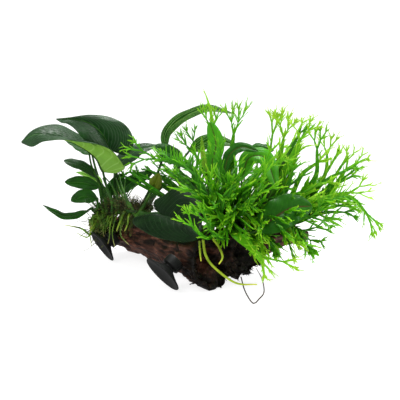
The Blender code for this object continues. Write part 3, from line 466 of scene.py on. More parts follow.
def woodFinish(name, heading):  # heading: which way the grain runs, in degrees from +X
    finish, tree, shader = newFinish(name, {"Specular IOR Level": 0.3})
    coords = addNode(tree, "ShaderNodeTexCoord")
    turn = addNode(tree, "ShaderNodeMapping", {
        "Vector": coords.outputs["Object"], "Rotation": (0, 0, math.radians(heading)),
        "Scale": (6.0, 1.0, 1.0),
    }, vector_type="TEXTURE")
    fibres = noiseAt(tree, turn.outputs[0], 340.0, 6.0, 0.6)
    plates = noiseAt(tree, turn.outputs[0], 70.0, 3.0)
    relief = addNode(tree, "ShaderNodeAttribute", attribute_name="relief").outputs["Fac"]
    rot = addNode(tree, "ShaderNodeAttribute", attribute_name="rot").outputs["Fac"]
    color = ramp(tree, fibres, (
        (0.36, (0.004, 0.002, 0.001)), (0.46, (0.026, 0.009, 0.005)), (0.55, (0.086, 0.029, 0.015)),
        (0.68, (0.185, 0.078, 0.047)),
    ))
    color = mixColors(tree, between(tree, plates, 0.42, 0.7, 0.0, 0.5), color, (0.105, 0.028, 0.011))
    # Low spots of the relief are painted near-black: painted shade in the hollows.
    color = mixColors(tree, between(tree, relief, 0.26, 0.56, 0.9, 0.0), color, (0.004, 0.003, 0.002))
    decayed = ramp(tree, fibres, (
        (0.4, (0.003, 0.002, 0.002)), (0.6, (0.009, 0.006, 0.003)), (0.78, (0.055, 0.033, 0.014)),
    ))
    color = mixColors(tree, rot, color, decayed)
    tree.links.new(color, shader.inputs["Base Color"])
    tree.links.new(between(tree, plates, 0.3, 0.7, 0.36, 0.64), shader.inputs["Roughness"])
    bumped(tree, shader, calc(tree, "MULTIPLY_ADD", plates, 0.6, fibres), 0.9, 0.0014)
    return finish


def rubberFinish(name):
    finish, tree, shader = newFinish(name, {"Specular IOR Level": 0.25})
    coords = addNode(tree, "ShaderNodeTexCoord")
    film = noiseAt(tree, coords.outputs["Object"], 60.0, 5.0)
    scuff = noiseAt(tree, coords.outputs["Object"], 500.0, 2.0)
    color = ramp(tree, film, ((0.35, (0.006, 0.007, 0.006)), (0.65, (0.013, 0.014, 0.013))))
    color = mixColors(tree, between(tree, scuff, 0.6, 0.8, 0.0, 0.4), color, (0.028, 0.029, 0.026))
    tree.links.new(color, shader.inputs["Base Color"])
    tree.links.new(between(tree, film, 0.3, 0.7, 0.34, 0.5), shader.inputs["Roughness"])
    bumped(tree, shader, scuff, 0.2, 0.0002)
    return finish


print("finishes made")


# Driftwood: a fibrous skin over the shape that the frame gives. near and far are the grain's two
# ends, decay is how far the rot reaches in from the near one, and past cut the far end is worn.

logValues = {
    "near": Vector((22, -51, 22)) * mm - origin, "far": Vector((-80, 97, 22)) * mm - origin,
    "voxel": 1.1 * mm, "fibre": 1.2 * mm, "plate": 1.5 * mm, "pit": 1.4 * mm, "decay": 26 * mm,
    "gouge": 9 * mm, "cut": 140 * mm,
}
branchValues = {
    "near": Vector((36, -8, 24)) * mm - origin, "far": Vector((98, 19, 32)) * mm - origin,
    "voxel": 0.8 * mm, "fibre": 0.5 * mm, "plate": 0.9 * mm, "pit": 1.2 * mm, "decay": 0,
    "gouge": 0, "cut": 50 * mm,
}
grainPatterns = {  # how often each noise changes in a metre along and across the grain, and its shift
    "fibre": (45, 300, (0, 0, 0)), "coarse": (22, 130, (7, 3, 1)), "plate": (40, 85, (2, 9, 4)),
    "pit": (70, 95, (5, 5, 5)), "gouge": (50, 150, (1, 8, 3)), "notch": (30, 110, (0, 0, 4)),
}
woodLimits = {"highest": 1.0 * mm, "deepest": -6 * mm, "flat": 3 * mm, "ragged": 16 * mm, "notch": 14 * mm}


def ridged(value):  # a noise value made into a sharp crest
    return 1 - 2 * abs(value)


def grainNoise(pattern, along, side, high):
    long, wide, shift = grainPatterns[pattern]
    return noise.noise(Vector((along * long, side * wide, high * wide)) + Vector(shift))


def woodPiece(nodeName, values):
    wood = bpy.data.objects.new(nodeName + "_bark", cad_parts[nodeName].data.copy())
    bpy.context.scene.collection.objects.link(wood)
    selectOnly(wood)
    bpy.ops.object.mode_set(mode="EDIT")
    bpy.ops.mesh.select_all(action="SELECT")
    bpy.ops.mesh.remove_doubles(threshold=0.00001)
    bpy.ops.mesh.normals_make_consistent(inside=False)
    bpy.ops.object.mode_set(mode="OBJECT")
    applyModifier(wood, "REMESH", mode="VOXEL", voxel_size=values["voxel"])
    applyModifier(wood, "SMOOTH", factor=0.5, iterations=3)
    grain = (values["far"] - values["near"]).normalized()
    right = Vector((grain.y, -grain.x, 0)).normalized()
    up = right.cross(grain)
    mesh = wood.data
    relief = mesh.attributes.new("relief", "FLOAT", "POINT")
    rot = mesh.attributes.new("rot", "FLOAT", "POINT")
    normals = [vert.normal.copy() for vert in mesh.vertices]
    for vert, normal in zip(mesh.vertices, normals):
        place = vert.co - values["near"]
        along, side, high = place.dot(grain), place.dot(right), place.dot(up)
        warp = noise.noise(place * 45) * 6 * mm
        fibre = ridged(grainNoise("fibre", along, side + warp, high + warp))
        coarse = grainNoise("coarse", along, side, high)
        plate = ridged(grainNoise("plate", along, side, high))
        pit = max(0, grainNoise("pit", along, side, high) - 0.28)
        gouge = max(0, grainNoise("gouge", along, side, high) + 0.1)
        decay = 0
        if values["decay"]:
            decay = min(1, max(0, 1.3 - (along + noise.noise(place * 90) * 14 * mm) / values["decay"]))
        depth = values["fibre"] * (fibre * (0.6 + 0.8 * decay) - 0.5)
        depth += values["plate"] * (plate * 0.5 + coarse - 0.3)
        depth -= values["pit"] * pit * 2.2
        depth -= values["gouge"] * gouge * decay
        depth = max(min(depth, woodLimits["highest"]), woodLimits["deepest"])
        if along > values["cut"]:  # the far end is an old, worn cut
            depth *= 1 - 0.85 * abs(normal.dot(grain))
        if vert.co.z < woodLimits["flat"]:  # the underside is worn flat
            depth *= max(0, vert.co.z / woodLimits["flat"]) * 0.6
        vert.co += normal * depth
        if vert.co.z < woodLimits["ragged"]:  # the broken end's lower edge is ragged
            notch = max(0, grainNoise("notch", along, side, 0) + 0.15) * decay
            vert.co.z += notch * woodLimits["notch"] * (1 - max(0, vert.co.z) / woodLimits["ragged"])
        vert.co.z = max(vert.co.z, 0.0001)
        # The relief height, whose low spots the finish paints near-black as shade in the hollows.
        height = 0.62 + depth / (values["plate"] + values["fibre"]) * 0.55
        relief.data[vert.index].value = min(1, max(0, height))
        rot.data[vert.index].value = decay
    mesh.materials.clear()
    mesh.materials.append(woodFinish(nodeName, math.degrees(math.atan2(grain.y, grain.x))))
    mesh.shade_smooth()
    return wood


log = woodPiece("driftwood_log", logValues)
branch = woodPiece("driftwood_branch", branchValues)

# Splinters of rotten wood stand out of the broken end.
splinterValues = {
    "count": 230, "long": (5, 15), "thick": (0.35, 1.0), "seed": 4, "within": 9 * mm, "above": 6 * mm,
}


def splinters(name, wood, values):
    chance = random.Random(values["seed"])
    grain = (logValues["far"] - logValues["near"]).normalized()
    ends = [
        vert for vert in wood.data.vertices
        if (vert.co - logValues["near"]).dot(grain) < values["within"] and vert.co.z > values["above"]
    ]
    skin = newSkin()
    for vert in chance.sample(ends, values["count"]):
        long = chance.uniform(*values["long"]) * mm
        lie = Vector([chance.uniform(-0.25, 0.25) for axis in range(3)])
        out = vert.normal - grain * vert.normal.dot(grain)
        heading = (-grain * 0.8 + out * 0.25 + lie).normalized()
        start = vert.co - vert.normal * 0.6 * mm - heading * long * 0.6
        bend = turned(heading, vert.normal, chance.uniform(-14, 14))
        path = [start, start + heading * long * 0.5, start + heading * long * 0.5 + bend * long * 0.5]
        radius = chance.uniform(*values["thick"]) * mm
        addTube(skin, path, (radius, radius * 0.8, radius * 0.15), 5, 0.5)
    return skinPiece(name, skin, bpy.data.materials["driftwood_log"])


shards = splinters("splinters", log, splinterValues)
finishPiece(log, "driftwood", "driftwood_log")
finishPiece(branch, "driftwood", "driftwood_branch")
finishPiece(shards, "driftwood")
print("driftwood done")

# Suction cups: a turned profile; height 0 is the plane of the lip.

cupValues = {
    "radius": 17.5, "lip": 1.6, "hollow": 2.6, "neck": 5.2, "collar": 7.8, "height": 17, "turns": 72,
    "cups": {
        "suction_cup_far": {"middle": (-97.4, 45.9), "facing": (-0.733, -0.427, -0.529)},
        "suction_cup_near": {"middle": (-30.5, -57.5), "facing": (-0.666, -0.430, -0.609)},
    },
}
rubber = rubberFinish("blackRubber")


def cupPiece(name, middle, facing):
    values = cupValues
    radius, hollow, height = values["radius"], values["hollow"], values["height"]
    profile = [
        (0, -hollow), (5, -0.93 * hollow), (10, -0.65 * hollow), (radius - values["lip"] - 0.5, -0.1),
        (radius - values["lip"], 0), (radius - 0.3, 0), (radius, -0.3), (radius, -0.9), (radius - 0.4, -1.2),
        (15.6, -1.9), (14, -2.6), (11.6, -3.8), (9, -5.2), (7, -6.3), (values["neck"], -7.4),
        (values["neck"], -8.4), (values["collar"] - 0.4, -9.2), (values["collar"], -9.6),
        (values["collar"], 1 - height), (values["collar"] - 0.3, 0.3 - height),
        (values["collar"] - 1, -height), (0, -height),
    ]
    mesh = bpy.data.meshes.new(name)
    mesh.from_pydata(
        [(out * mm, 0, up * mm) for out, up in profile], [(k, k + 1) for k in range(len(profile) - 1)], []
    )
    cup = bpy.data.objects.new(name, mesh)
    bpy.context.scene.collection.objects.link(cup)
    selectOnly(cup)
    bpy.ops.object.mode_set(mode="EDIT")
    bpy.ops.mesh.select_all(action="SELECT")
    bpy.ops.mesh.spin(steps=values["turns"], angle=2 * math.pi, center=(0, 0, 0), axis=(0, 0, 1))
    bpy.ops.mesh.select_all(action="SELECT")
    bpy.ops.mesh.remove_doubles(threshold=0.00002)
    bpy.ops.mesh.normals_make_consistent(inside=False)
    bpy.ops.object.mode_set(mode="OBJECT")
    raised = radius * math.sqrt(1 - facing.z**2)  # so that the lip's lowest point is on the floor
    turn = facing.to_track_quat("Z", "Y").to_matrix().to_4x4()
    mesh.transform(Matrix.Translation(Vector((*middle, raised)) * mm - origin) @ turn)
    mesh.materials.append(rubber)
    mesh.shade_smooth()
    selectOnly(cup)
    bpy.ops.object.shade_smooth_by_angle(angle=math.radians(40))
    return cup


for cupName, spot in cupValues["cups"].items():
    cup = cupPiece(cupName + "_rubber", spot["middle"], Vector(spot["facing"]).normalized())
    finishPiece(cup, "black_rubber", cupName)
print("suction cups done")

# Creeping stems. tip is the radius at the far end as a share of radius.
anubiasStem = {
    "line": [(-106, 76, 43), (-78, 52, 50), (-49, 26, 52)],
    "radius": 4.6 * mm, "tip": 0.8, "scars": 11, "lumps": 160,
}
fernStem = {
    "line": [(9, -41, 52), (30, -20, 52), (60, 2, 46), (88, 18, 43)],
    "radius": 3.2 * mm, "tip": 0.8, "scars": 16, "lumps": 220,
}
for stem in (anubiasStem, fernStem):
    stem["path"] = smoothPath([Vector(point) * mm - origin for point in stem["line"]], 12)


def stemRadius(stem, share):
    return stem["radius"] * (1 - (1 - stem["tip"]) * share)


def stemPiece(name, stem):
    steps = 90
    path = smoothPath(stem["path"], steps)
    radii = []
    for index in range(len(path)):
        share = index / steps
        ring = abs((share * stem["scars"]) % 1 - 0.5) * 2  # leaf scars: a step at each ring
        radii.append(stemRadius(stem, share) * (0.88 + 0.1 * ring**3))
    skin = newSkin()
    addTube(skin, path, radii, 24)
    piece = skinPiece(name, skin, rhizomeFinish)
    for vert in piece.data.vertices:
        vert.co += vert.normal * noise.noise(vert.co * stem["lumps"]) * 0.7 * mm
    return piece


def footAndStart(stem, share, towards):  # where a stalk leaves its stem, from inside to clear of it
    root = blendVectors(stem["path"], share)
    radius = stemRadius(stem, share)
    creep = (stem["path"][-1] - stem["path"][0]).normalized()
    out = towards - root
    out = (out - creep * out.dot(creep)).normalized()
    foot = root + out * (radius + 1 * mm)
    return root + out * radius * 0.5, [foot, foot + out * 4 * mm]


anubiasRhizome = stemPiece("anubias_stem", anubiasStem)
fernRhizome = stemPiece("fern_stem", fernStem)
finishPiece(fernRhizome, "rhizome", "fern_rhizome")
print("creeping stems done")

thickRoots = (
    {"foot": 0.6, "line": [(123.5, 214, 36), (121, 220, 32), (118.5, 226, 30), (116.5, 231, 29)],
     "thick": 2.7, "bright": 1},
    {"foot": 0.7, "line": [(128.7, 216, 29), (128, 223, 23), (126.2, 228, 20), (124.5, 231, 19)],
     "thick": 2.4, "bright": 1},
    {"foot": 0.56, "line": [(122, 222, 33), (120.3, 232, 26), (121.5, 237, 22), (128.5, 244.5, 12)],
     "thick": 1.1},
    {"foot": 0.42, "line": [(115, 221, 40), (112.5, 231, 34), (113, 239, 32), (115, 247, 31)], "thick": 1.2},
    {"foot": 0.36, "line": [(110.5, 224, 46), (109.5, 236, 40), (107.3, 245.5, 39)], "thick": 1.5},
    {"foot": 0.3, "line": [(106, 222, 50), (103, 229, 48), (104, 237, 46)], "thick": 1.2},
    {"foot": 0.12, "line": [(93, 226, 44), (90, 233, 44), (91.5, 246, 44)], "thick": 1.6, "bright": 1},
    {"foot": 0.06, "line": [(91, 234, 46), (86.5, 232, 46), (80, 228, 47), (64.5, 225, 48)], "thick": 2.4},
    {"foot": 0.08, "line": [(90, 235, 45), (84, 236.5, 46), (77, 233, 46)], "thick": 1.8, "bright": 1},
)
rootSkins = {"thick_roots": newSkin(), "thin_roots": newSkin()}
for spec in thickRoots:
    rootSkin = rootSkins["thick_roots" if spec.get("bright") else "thin_roots"]
    start = [blendVectors(anubiasStem["path"], spec["foot"])]
    path = smoothPath(start + [seen(*point) for point in spec["line"]], 20)
    radius = spec["thick"] * mm / 2
    addTube(rootSkin, path, (radius * 1.1, radius, radius * 0.95, radius * 0.75, radius * 0.3), 10)
thickRootPiece = skinPiece("thick_roots", rootSkins["thick_roots"], rootFinish)
thinRootPiece = skinPiece("thin_roots", rootSkins["thin_roots"], feederRootFinish)

feltValues = {
    "middle": Vector((-99, 67, 32)) * mm - origin, "size": (16.5, 10.5, 13), "lean": -40,
    "lumps": 4.5 * mm, "strands": 0.9, "bumps": 1.6, "lowest": 12 * mm,
}


def feltPiece():  # the felt of old roots at the far end of the wood
    bpy.ops.object.select_all(action="DESELECT")
    bpy.ops.mesh.primitive_ico_sphere_add(subdivisions=6, radius=1)
    felt = bpy.context.object
    felt.name = felt.data.name = "root_felt"
    turn = Matrix.Rotation(math.radians(feltValues["lean"]), 4, "Z")
    size = Matrix.Diagonal((*[value * mm for value in feltValues["size"]], 1))
    felt.data.transform(Matrix.Translation(feltValues["middle"]) @ turn @ size)
    felt.data.update()
    for vert in felt.data.vertices:
        lump = noise.noise(vert.co * 110) * feltValues["lumps"]
        strands = ridged(noise.noise(vert.co * 520)) * feltValues["strands"] * mm
        tangle = strands + noise.noise(vert.co * 260) * feltValues["bumps"] * mm
        vert.co += vert.normal * (lump + tangle)
        vert.co.z = max(vert.co.z, feltValues["lowest"])
    felt.data.materials.append(feltFinish)
    felt.data.shade_smooth()
    return felt


felt = feltPiece()
hairValues = {"count": 240, "long": (8, 26), "thick": (0.2, 0.5), "seed": 11, "wander": 34}


def hairRoots(name, starts, values, finish, pull=Vector((0, 0, -0.5))):
    chance = random.Random(values["seed"])
    skin = newSkin()
    for count in range(values["count"]):
        place, normal = starts[chance.randrange(len(starts))]
        side = normal.orthogonal()
        heading = (side + normal.cross(side) * chance.uniform(-2, 2)).normalized()
        if chance.random() < 0.5:
            heading = -heading
        heading = (heading + pull + normal * chance.uniform(-0.05, 0.5)).normalized()
        steps = 7
        step = chance.uniform(*values["long"]) * mm / steps
        path = [place - normal * 0.8 * mm]
        for bend in range(steps):
            heading = turned(heading, normal, chance.uniform(-values["wander"], values["wander"]))
            heading = (heading - normal * 0.12 + pull * 0.12).normalized()
            place = path[-1] + heading * step
            path.append(Vector((place.x, place.y, max(place.z, 1 * mm))))
        radius = chance.uniform(*values["thick"]) * mm
        addTube(skin, path, (radius, radius * 0.9, radius * 0.4), 5)
    return skinPiece(name, skin, finish)


feltTree = BVHTree.FromPolygons([v.co for v in felt.data.vertices], [p.vertices for p in felt.data.polygons])
logTree = BVHTree.FromPolygons([v.co for v in log.data.vertices], [p.vertices for p in log.data.polygons])
crawlValues = {
    "anubias": {
        "count": 46, "share": (0.0, 0.5), "long": (14, 30), "thick": (0.4, 0.8), "seed": 21, "drift": -0.5,
    },
    "anubiasFine": {
        "count": 170, "share": (0.0, 0.8), "long": (8, 24), "thick": (0.16, 0.36), "seed": 22, "drift": -0.3,
    },
    "fern": {
        "count": 150, "share": (0.0, 1.0), "long": (8, 30), "thick": (0.15, 0.4), "seed": 23, "drift": 0,
    },
}


crawlShape = {
    "steps": 14, "angle": (25, 115), "startFall": -0.3, "fall": -0.28, "wander": 30,
    "lift": 0.4 * mm, "skim": 3 * mm, "floor": 1 * mm,
}


def crawlRoots(name, stem, values, trees, finish):  # roots that run from a stem over the wood and the felt
    chance = random.Random(values["seed"])
    creep = (stem["path"][-1] - stem["path"][0]).normalized()
    skin = newSkin()
    for count in range(values["count"]):
        start = blendVectors(stem["path"], chance.uniform(*values["share"]))
        angle = chance.choice((-1, 1)) * chance.uniform(*crawlShape["angle"])
        out = turned(Vector((0, 0, 1)), creep, angle)
        out = (out - creep * out.dot(creep)).normalized()
        radius = chance.uniform(*values["thick"]) * mm
        long = chance.uniform(*values["long"]) * mm
        steps = crawlShape["steps"]
        place = start + out * stem["radius"] * 0.7
        drift = creep * (chance.uniform(-0.5, 0.5) + values["drift"])
        heading = (out + Vector((0, 0, crawlShape["startFall"])) + drift).normalized()
        path = [place]
        for bend in range(steps):
            place = place + heading * long / steps
            hits = [tree.find_nearest(place) for tree in trees]
            spot, normal, index, away = min(hits, key=lambda hit: hit[3])
            inside = (place - spot).dot(normal) < 0
            if inside or away > radius + crawlShape["lift"]:
                pull = 1.0 if inside else 0.35
                place = place.lerp(spot + normal * (radius * 0.7 + 0.1 * mm), pull)
            if away < crawlShape["skim"]:
                heading = heading - normal * heading.dot(normal)
            heading = turned(heading, normal, chance.uniform(-crawlShape["wander"], crawlShape["wander"]))
            heading = heading + Vector((0, 0, crawlShape["fall"])) + creep * values["drift"] * 0.3
            heading.normalize()
            path.append(place)
        path = [point for point in path if point.z > crawlShape["floor"]]
        if len(path) > 4:
            addTube(skin, smoothPath(path, 16), (radius, radius * 0.95, radius * 0.8, radius * 0.3), 7)
    return skinPiece(name, skin, finish)


for name, stem, trees, finish in (
    ("anubias", anubiasStem, (feltTree, logTree), feederRootFinish),
    ("anubiasFine", anubiasStem, (feltTree, logTree), hairRootFinish),
    ("fern", fernStem, (logTree,), brownRootFinish),
):
    finishPiece(crawlRoots(name + "_roots", stem, crawlValues[name], trees, finish), "roots")

# Feeder roots: the strands that run from the crown down to the left over the felt.
feederValues = {
    "count": 110, "columns": (97, 130), "rows": (208, 218), "left": (2, 17), "down": (9, 21), "sag": 3.5,
    "thick": (0.5, 0.95), "lift": (1.2, 4.0), "seed": 31,
}


def onSurface(column, row, trees, lift):  # the spot of a surface that shows at a place of the picture
    start = eye - origin
    ray = (seen(column, row, 0) - start).normalized()
    hits = [hit for hit in (tree.ray_cast(start, ray) for tree in trees) if hit[0]]
    if not hits:
        return None
    spot, normal, index, away = min(hits, key=lambda hit: hit[3])
    return spot + normal * lift


def feederRoots(values):
    chance = random.Random(values["seed"])
    skin = newSkin()
    steps = 9
    for count in range(values["count"]):
        column, row = chance.uniform(*values["columns"]), chance.uniform(*values["rows"])
        left, down = chance.uniform(*values["left"]), chance.uniform(*values["down"])
        lift, sag = chance.uniform(*values["lift"]) * mm, chance.uniform(-1, 1) * values["sag"]
        path = []
        for step in range(steps + 1):
            share = step / steps
            bow = math.sin(math.pi * share)
            spot = onSurface(
                column - left * share + sag * bow, row + down * share, (feltTree, logTree),
                0.4 * mm + lift * (0.3 + bow) * min(1, share * 3),
            )
            if spot:
                path.append(spot)
        if len(path) > 4 and max((b - a).length for a, b in zip(path, path[1:])) < 9 * mm:
            radius = chance.uniform(*values["thick"]) * mm
            addTube(skin, smoothPath(path, 18), (radius, radius, radius * 0.9, radius * 0.7, radius * 0.3), 8)
    return skinPiece("feeder_roots", skin, feederRootFinish)


finishPiece(feederRoots(feederValues), "roots")

tangleValues = {"count": 640, "long": (9, 23), "thick": (0.15, 0.32), "seed": 13, "wander": 44}
stemStarts = [
    (vert.co.copy(), vert.normal.copy()) for vert in anubiasRhizome.data.vertices if vert.normal.z > -0.1
]
upward = Vector((0, 0, 0.55))
finishPiece(hairRoots("crown_hair", stemStarts, tangleValues, tangleFinish, upward), "roots")
tangleValues |= {"count": 200, "seed": 14}
finishPiece(hairRoots("crown_hair_green", stemStarts, tangleValues, hairRootFinish, upward), "roots")

feltStarts = [(vert.co.copy(), vert.normal.copy()) for vert in list(felt.data.vertices)[::7]]
feltHair = hairRoots("felt_hair", feltStarts, hairValues, hairRootFinish)
for piece in (anubiasRhizome, thickRootPiece, thinRootPiece, felt, feltHair):
    finishPiece(piece, "rhizome" if piece is anubiasRhizome else "roots")
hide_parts("anubias_rhizome")

hangingRoots = {
    "hanging_root_long": {
        "line": [(203, 240, -57.7), (206, 256, -65), (216, 269, -68), (236, 283, -72), (257, 284.5, -72)],
        "thick": 2.2, "finish": hangingRootFinish,
    },
    "hanging_root_short": {
        "line": [(199.5, 241, -57), (200, 251, -59.5), (201, 261, -61)],
        "thick": 1.8, "finish": hangingRootFinish,
    },
    "hanging_root_curved": {
        "line": [(213, 239, -53.5), (219, 247, -61), (222.5, 257, -66), (219, 264, -66)],
        "thick": 2.2, "finish": hangingRootFinish,
    },
    "loose_root_loop": {
        "line": [
            (241, 277, -42), (245, 291, -66), (253, 303.2, -90), (259, 299, -87),
            (264, 292, -80), (262, 279, -58), (256, 268, -33),
        ],
        "thick": 1.0, "finish": brownRootFinish,
    },
}
for rootName, spec in hangingRoots.items():
    skin = newSkin()
    path = smoothPath([seen(*point) for point in spec["line"]], 48)
    radius = spec["thick"] * mm / 2
    addTube(skin, path, (radius, radius * 0.95, radius * 0.85, radius * 0.45), 10)
    finishPiece(skinPiece(rootName + "_skin", skin, spec["finish"]), "roots", rootName)
print("roots done")

# Broad leaves: a grid drawn over three rails, near margin, midrib and far margin. Each station
# of the rails is three places.

farLeftRails = (
    ((104.5, 172.5, 62), (103, 172, 62), (102, 171.5, 62)),
    ((116, 173.3, 60), (101, 167, 62), (104, 164.5, 74)),
    ((125, 168, 59), (97.6, 159.7, 61), (101.5, 156, 79)),
    ((122, 160.5, 55), (93, 154.4, 59), (96, 148, 79)),
    ((113.7, 152.8, 50), (86.9, 149.8, 57), (90, 143, 77)),
    ((102, 146.5, 43), (80, 145.6, 54), (84.5, 139.8, 73)),
    ((89, 142, 36), (72, 141.3, 50), (79, 133.5, 68)),
    ((75, 140.2, 31), (64, 139.2, 46), (71, 129, 62)),
    ((64, 140.2, 28), (54.8, 136.4, 42), (61, 125.5, 56)),
    ((53, 140.4, 26), (45.6, 134.9, 38), (50, 124.8, 50)),
    ((42, 141.5, 26), (36, 134, 35), (40, 126.2, 44)),
    ((32, 146.8, 28), (28, 137.5, 33), (30, 131.8, 38)),
    ((22, 143.4, 32), (21.4, 142.4, 32), (21.2, 141.6, 32)),
)
topRails = (
    ((110.6, 151.4, 60), (111, 150.5, 60), (112.5, 151.5, 61)),
    ((105, 150.5, 57), (108, 144.5, 59), (125, 155, 66)),
    ((98.5, 147.3, 52), (105, 138.5, 57), (132.5, 147.5, 66)),
    ((91.5, 143.6, 47), (101, 132.5, 54), (133.2, 138, 62)),
    ((86, 141, 42), (96, 127.5, 50), (129.5, 129.5, 60)),
    ((80.5, 135.8, 36), (90, 123.5, 46), (122, 122.3, 57)),
    ((76, 130.4, 32), (83.5, 121, 41), (112, 117.6, 54)),
    ((71.5, 126.3, 29), (77, 119.6, 36), (100.5, 115.2, 49)),
    ((66.5, 123.6, 26), (70, 118.9, 31), (88, 114.8, 42)),
    ((61.5, 122.8, 24), (63, 118.8, 27), (73.5, 116.8, 33)),
    ((56.4, 119.6, 23), (56.2, 119, 23), (56.6, 118.5, 23)),
)
frontRails = (  # heart-shaped: its lobes reach back past the stalk
    ((157, 213.8, -10), (158, 213, -10), (158.3, 212, -10)),
    ((146, 215, -4), (160, 214, -12), (155, 209.5, -3)),
    ((135, 218, -3), (163, 215.2, -14), (153.6, 204.5, 2)),
    ((132, 221.6, -5), (167, 216.6, -17), (156.5, 199.5, 4)),
    ((136, 226.6, -13), (172, 218.4, -21), (162.5, 194.5, 4)),
    ((145, 232.2, -22), (178, 221, -27), (171.5, 190, 2)),
    ((157, 237.2, -32), (184, 224, -33), (183, 187.6, -3)),
    ((171, 241, -42), (190, 228, -41), (195, 192.5, -14)),
    ((186, 242.2, -51), (195.5, 233, -49), (203, 209, -33)),
    ((200.2, 238.6, -58), (200, 238, -58), (200.3, 237.2, -58)),
)


anubiasLeaves = {
    "leaf_far_left": {
        "foot": 0.42, "stalk": [(112, 200, 56), (107, 188, 60)], "rails": farLeftRails,
    },
    "leaf_top": {
        "foot": 0.5, "stalk": [(118, 196, 66), (117, 176, 68), (113.5, 160, 65)],
        "rails": topRails,
    },
    "leaf_behind_top": {
        "foot": 0.37, "stalk": [(114, 196, 78)],
        "blade": [(115, 166, 78), (137, 150, 82), (159, 145, 84)],
        "faces": [(0.1, -0.7, 0.7), (0.1, -0.5, 0.85)], "width": 21, "fold": 6,
    },
    "leaf_back_left": {
        "foot": 0.22, "stalk": [(103, 190, 88), (96, 170, 94)],
        "blade": [(92, 154, 96), (80, 147, 95), (64, 139, 92)],
        "faces": [(0, -0.4, 0.9), (-0.1, -0.3, 0.95)], "width": 20, "fold": 8,
    },
    "leaf_left_small": {
        "foot": 0.24, "stalk": [(105, 198, 66)],
        "blade": [(98, 178, 67), (84, 167, 66), (64, 160.5, 62)],
        "faces": [(0.1, -0.25, 0.95), (-0.2, -0.65, 0.7)], "fall": 0.6, "width": 16, "fold": 10,
    },
    "leaf_left_round": {
        "foot": 0.17, "stalk": [(102, 203, 60)],
        "blade": [(99, 187, 56), (83, 182.5, 50), (65, 182, 44)],
        "faces": [(-0.1, -0.85, 0.5), (-0.1, -0.8, 0.6)], "fall": 0.6, "width": 15, "fold": 6,
    },
    "leaf_left_folded": {
        "foot": 0.31, "stalk": [(109, 198, 74)],
        "blade": [(102, 184, 80), (90, 177, 80), (76, 172, 78)],
        "faces": [(-0.2, -0.5, 0.8), (-0.2, -0.4, 0.9)], "width": 13, "fold": 24,
    },
    "leaf_left_lower": {
        "foot": 0.08, "stalk": [(98, 207, 55)],
        "blade": [(97, 198, 45), (84, 196, 39), (71, 201, 33)],
        "faces": [(-0.1, -0.85, 0.5), (-0.2, -0.8, 0.55)], "fall": 0.6, "width": 16, "fold": 6,
    },
    "leaf_left_level": {
        "foot": 0.02, "stalk": [(92, 208, 66)],
        "blade": [(87, 211, 60), (66, 216, 52), (43, 205, 46)],
        "faces": [(0, -0.3, 0.95), (0, -0.25, 0.95)], "width": 17, "fold": 5,
    },
    "leaf_front": {"foot": 0.98, "stalk": [(144, 214, 10)], "rails": frontRails, "order": 1},
    "leaf_middle": {
        "foot": 0.9, "stalk": [(152, 196, 46), (172, 178, 56)],
        "blade": [(183, 161, 60), (169, 153, 58), (154, 146, 54)],
        "faces": [(0, -0.85, 0.5), (-0.1, -0.7, 0.7)], "fall": 0.6, "width": 19, "fold": 6,
    },
    "leaf_arching": {
        "foot": 0.8, "stalk": [(146, 198, 54), (158, 172, 66)],
        "blade": [(165, 150, 70), (167, 132, 70), (184, 117, 66), (208, 108.5, 60), (234, 113.5, 54)],
        "faces": [(-0.6, -0.7, 0.2), (-0.3, -0.6, 0.7), (0.2, -0.6, 0.8)], "width": 17, "fold": 10,
    },
    "leaf_behind_fern": {
        "foot": 0.95, "stalk": [(152, 200, 58), (176, 168, 80)],
        "blade": [(190, 150, 86), (212, 140, 88), (238, 145, 88)],
        "faces": [(0.1, -0.75, 0.65), (0.2, -0.7, 0.7)], "width": 19, "fold": 6,
    },
    "leaf_young": {
        "foot": 0.76, "stalk": [(139, 211, 30), (146, 201, 29)],
        "blade": [(152.5, 190, 30), (156, 182, 30), (159, 173, 30)],
        "faces": [(-0.1, -0.95, 0.3), (-0.1, -0.95, 0.3)], "width": 13, "fold": 8,
    },
}


def bladeWidth(share, fall):  # half the width as a share of its greatest, from the base, 0, to the tip, 1
    rise = 0.55
    peak = rise / (rise + fall)
    return share**rise * (1 - share) ** fall / (peak**rise * (1 - peak) ** fall)


def bladeRails(spec):  # the three rails of a leaf that is given by its midrib, width and faces
    steps = 24
    path = smoothPath([seen(*point) for point in spec["blade"]], steps)
    faces = [Vector(face).normalized() for face in spec["faces"]]
    fold = math.radians(spec["fold"])
    rails = []
    for step, (place, direction) in enumerate(zip(path, tangentsOf(path))):
        share = step / steps
        side = blendVectors(faces, share).cross(direction).normalized()
        up = direction.cross(side).normalized()
        wide = spec["width"] * mm / 2 * bladeWidth(min(max(share, 0.012), 0.992), spec.get("fall", 0.85))
        out = side * wide * math.cos(fold)
        lift = up * (wide * math.sin(fold) - 0.1 * wide)
        rails.append((place - out + lift, place, place + out + lift))
    return rails


# swell is a stalk's foot against its radius; under is how far the stalk runs on under the blade,
# and below how deep; turn moves the waves of the margin on from leaf to leaf.
bladeValues = {
    "along": 132, "across": 36, "thick": 0.5 * mm, "arch": 0.1,
    "veinDepth": 0.26 * mm, "midribDepth": 0.55 * mm, "wave": 0.045, "waves": 3.2, "turn": 0.37,
    "stalk": 1.25 * mm, "swell": 2.0, "under": 0.55, "below": 1 * mm,
}


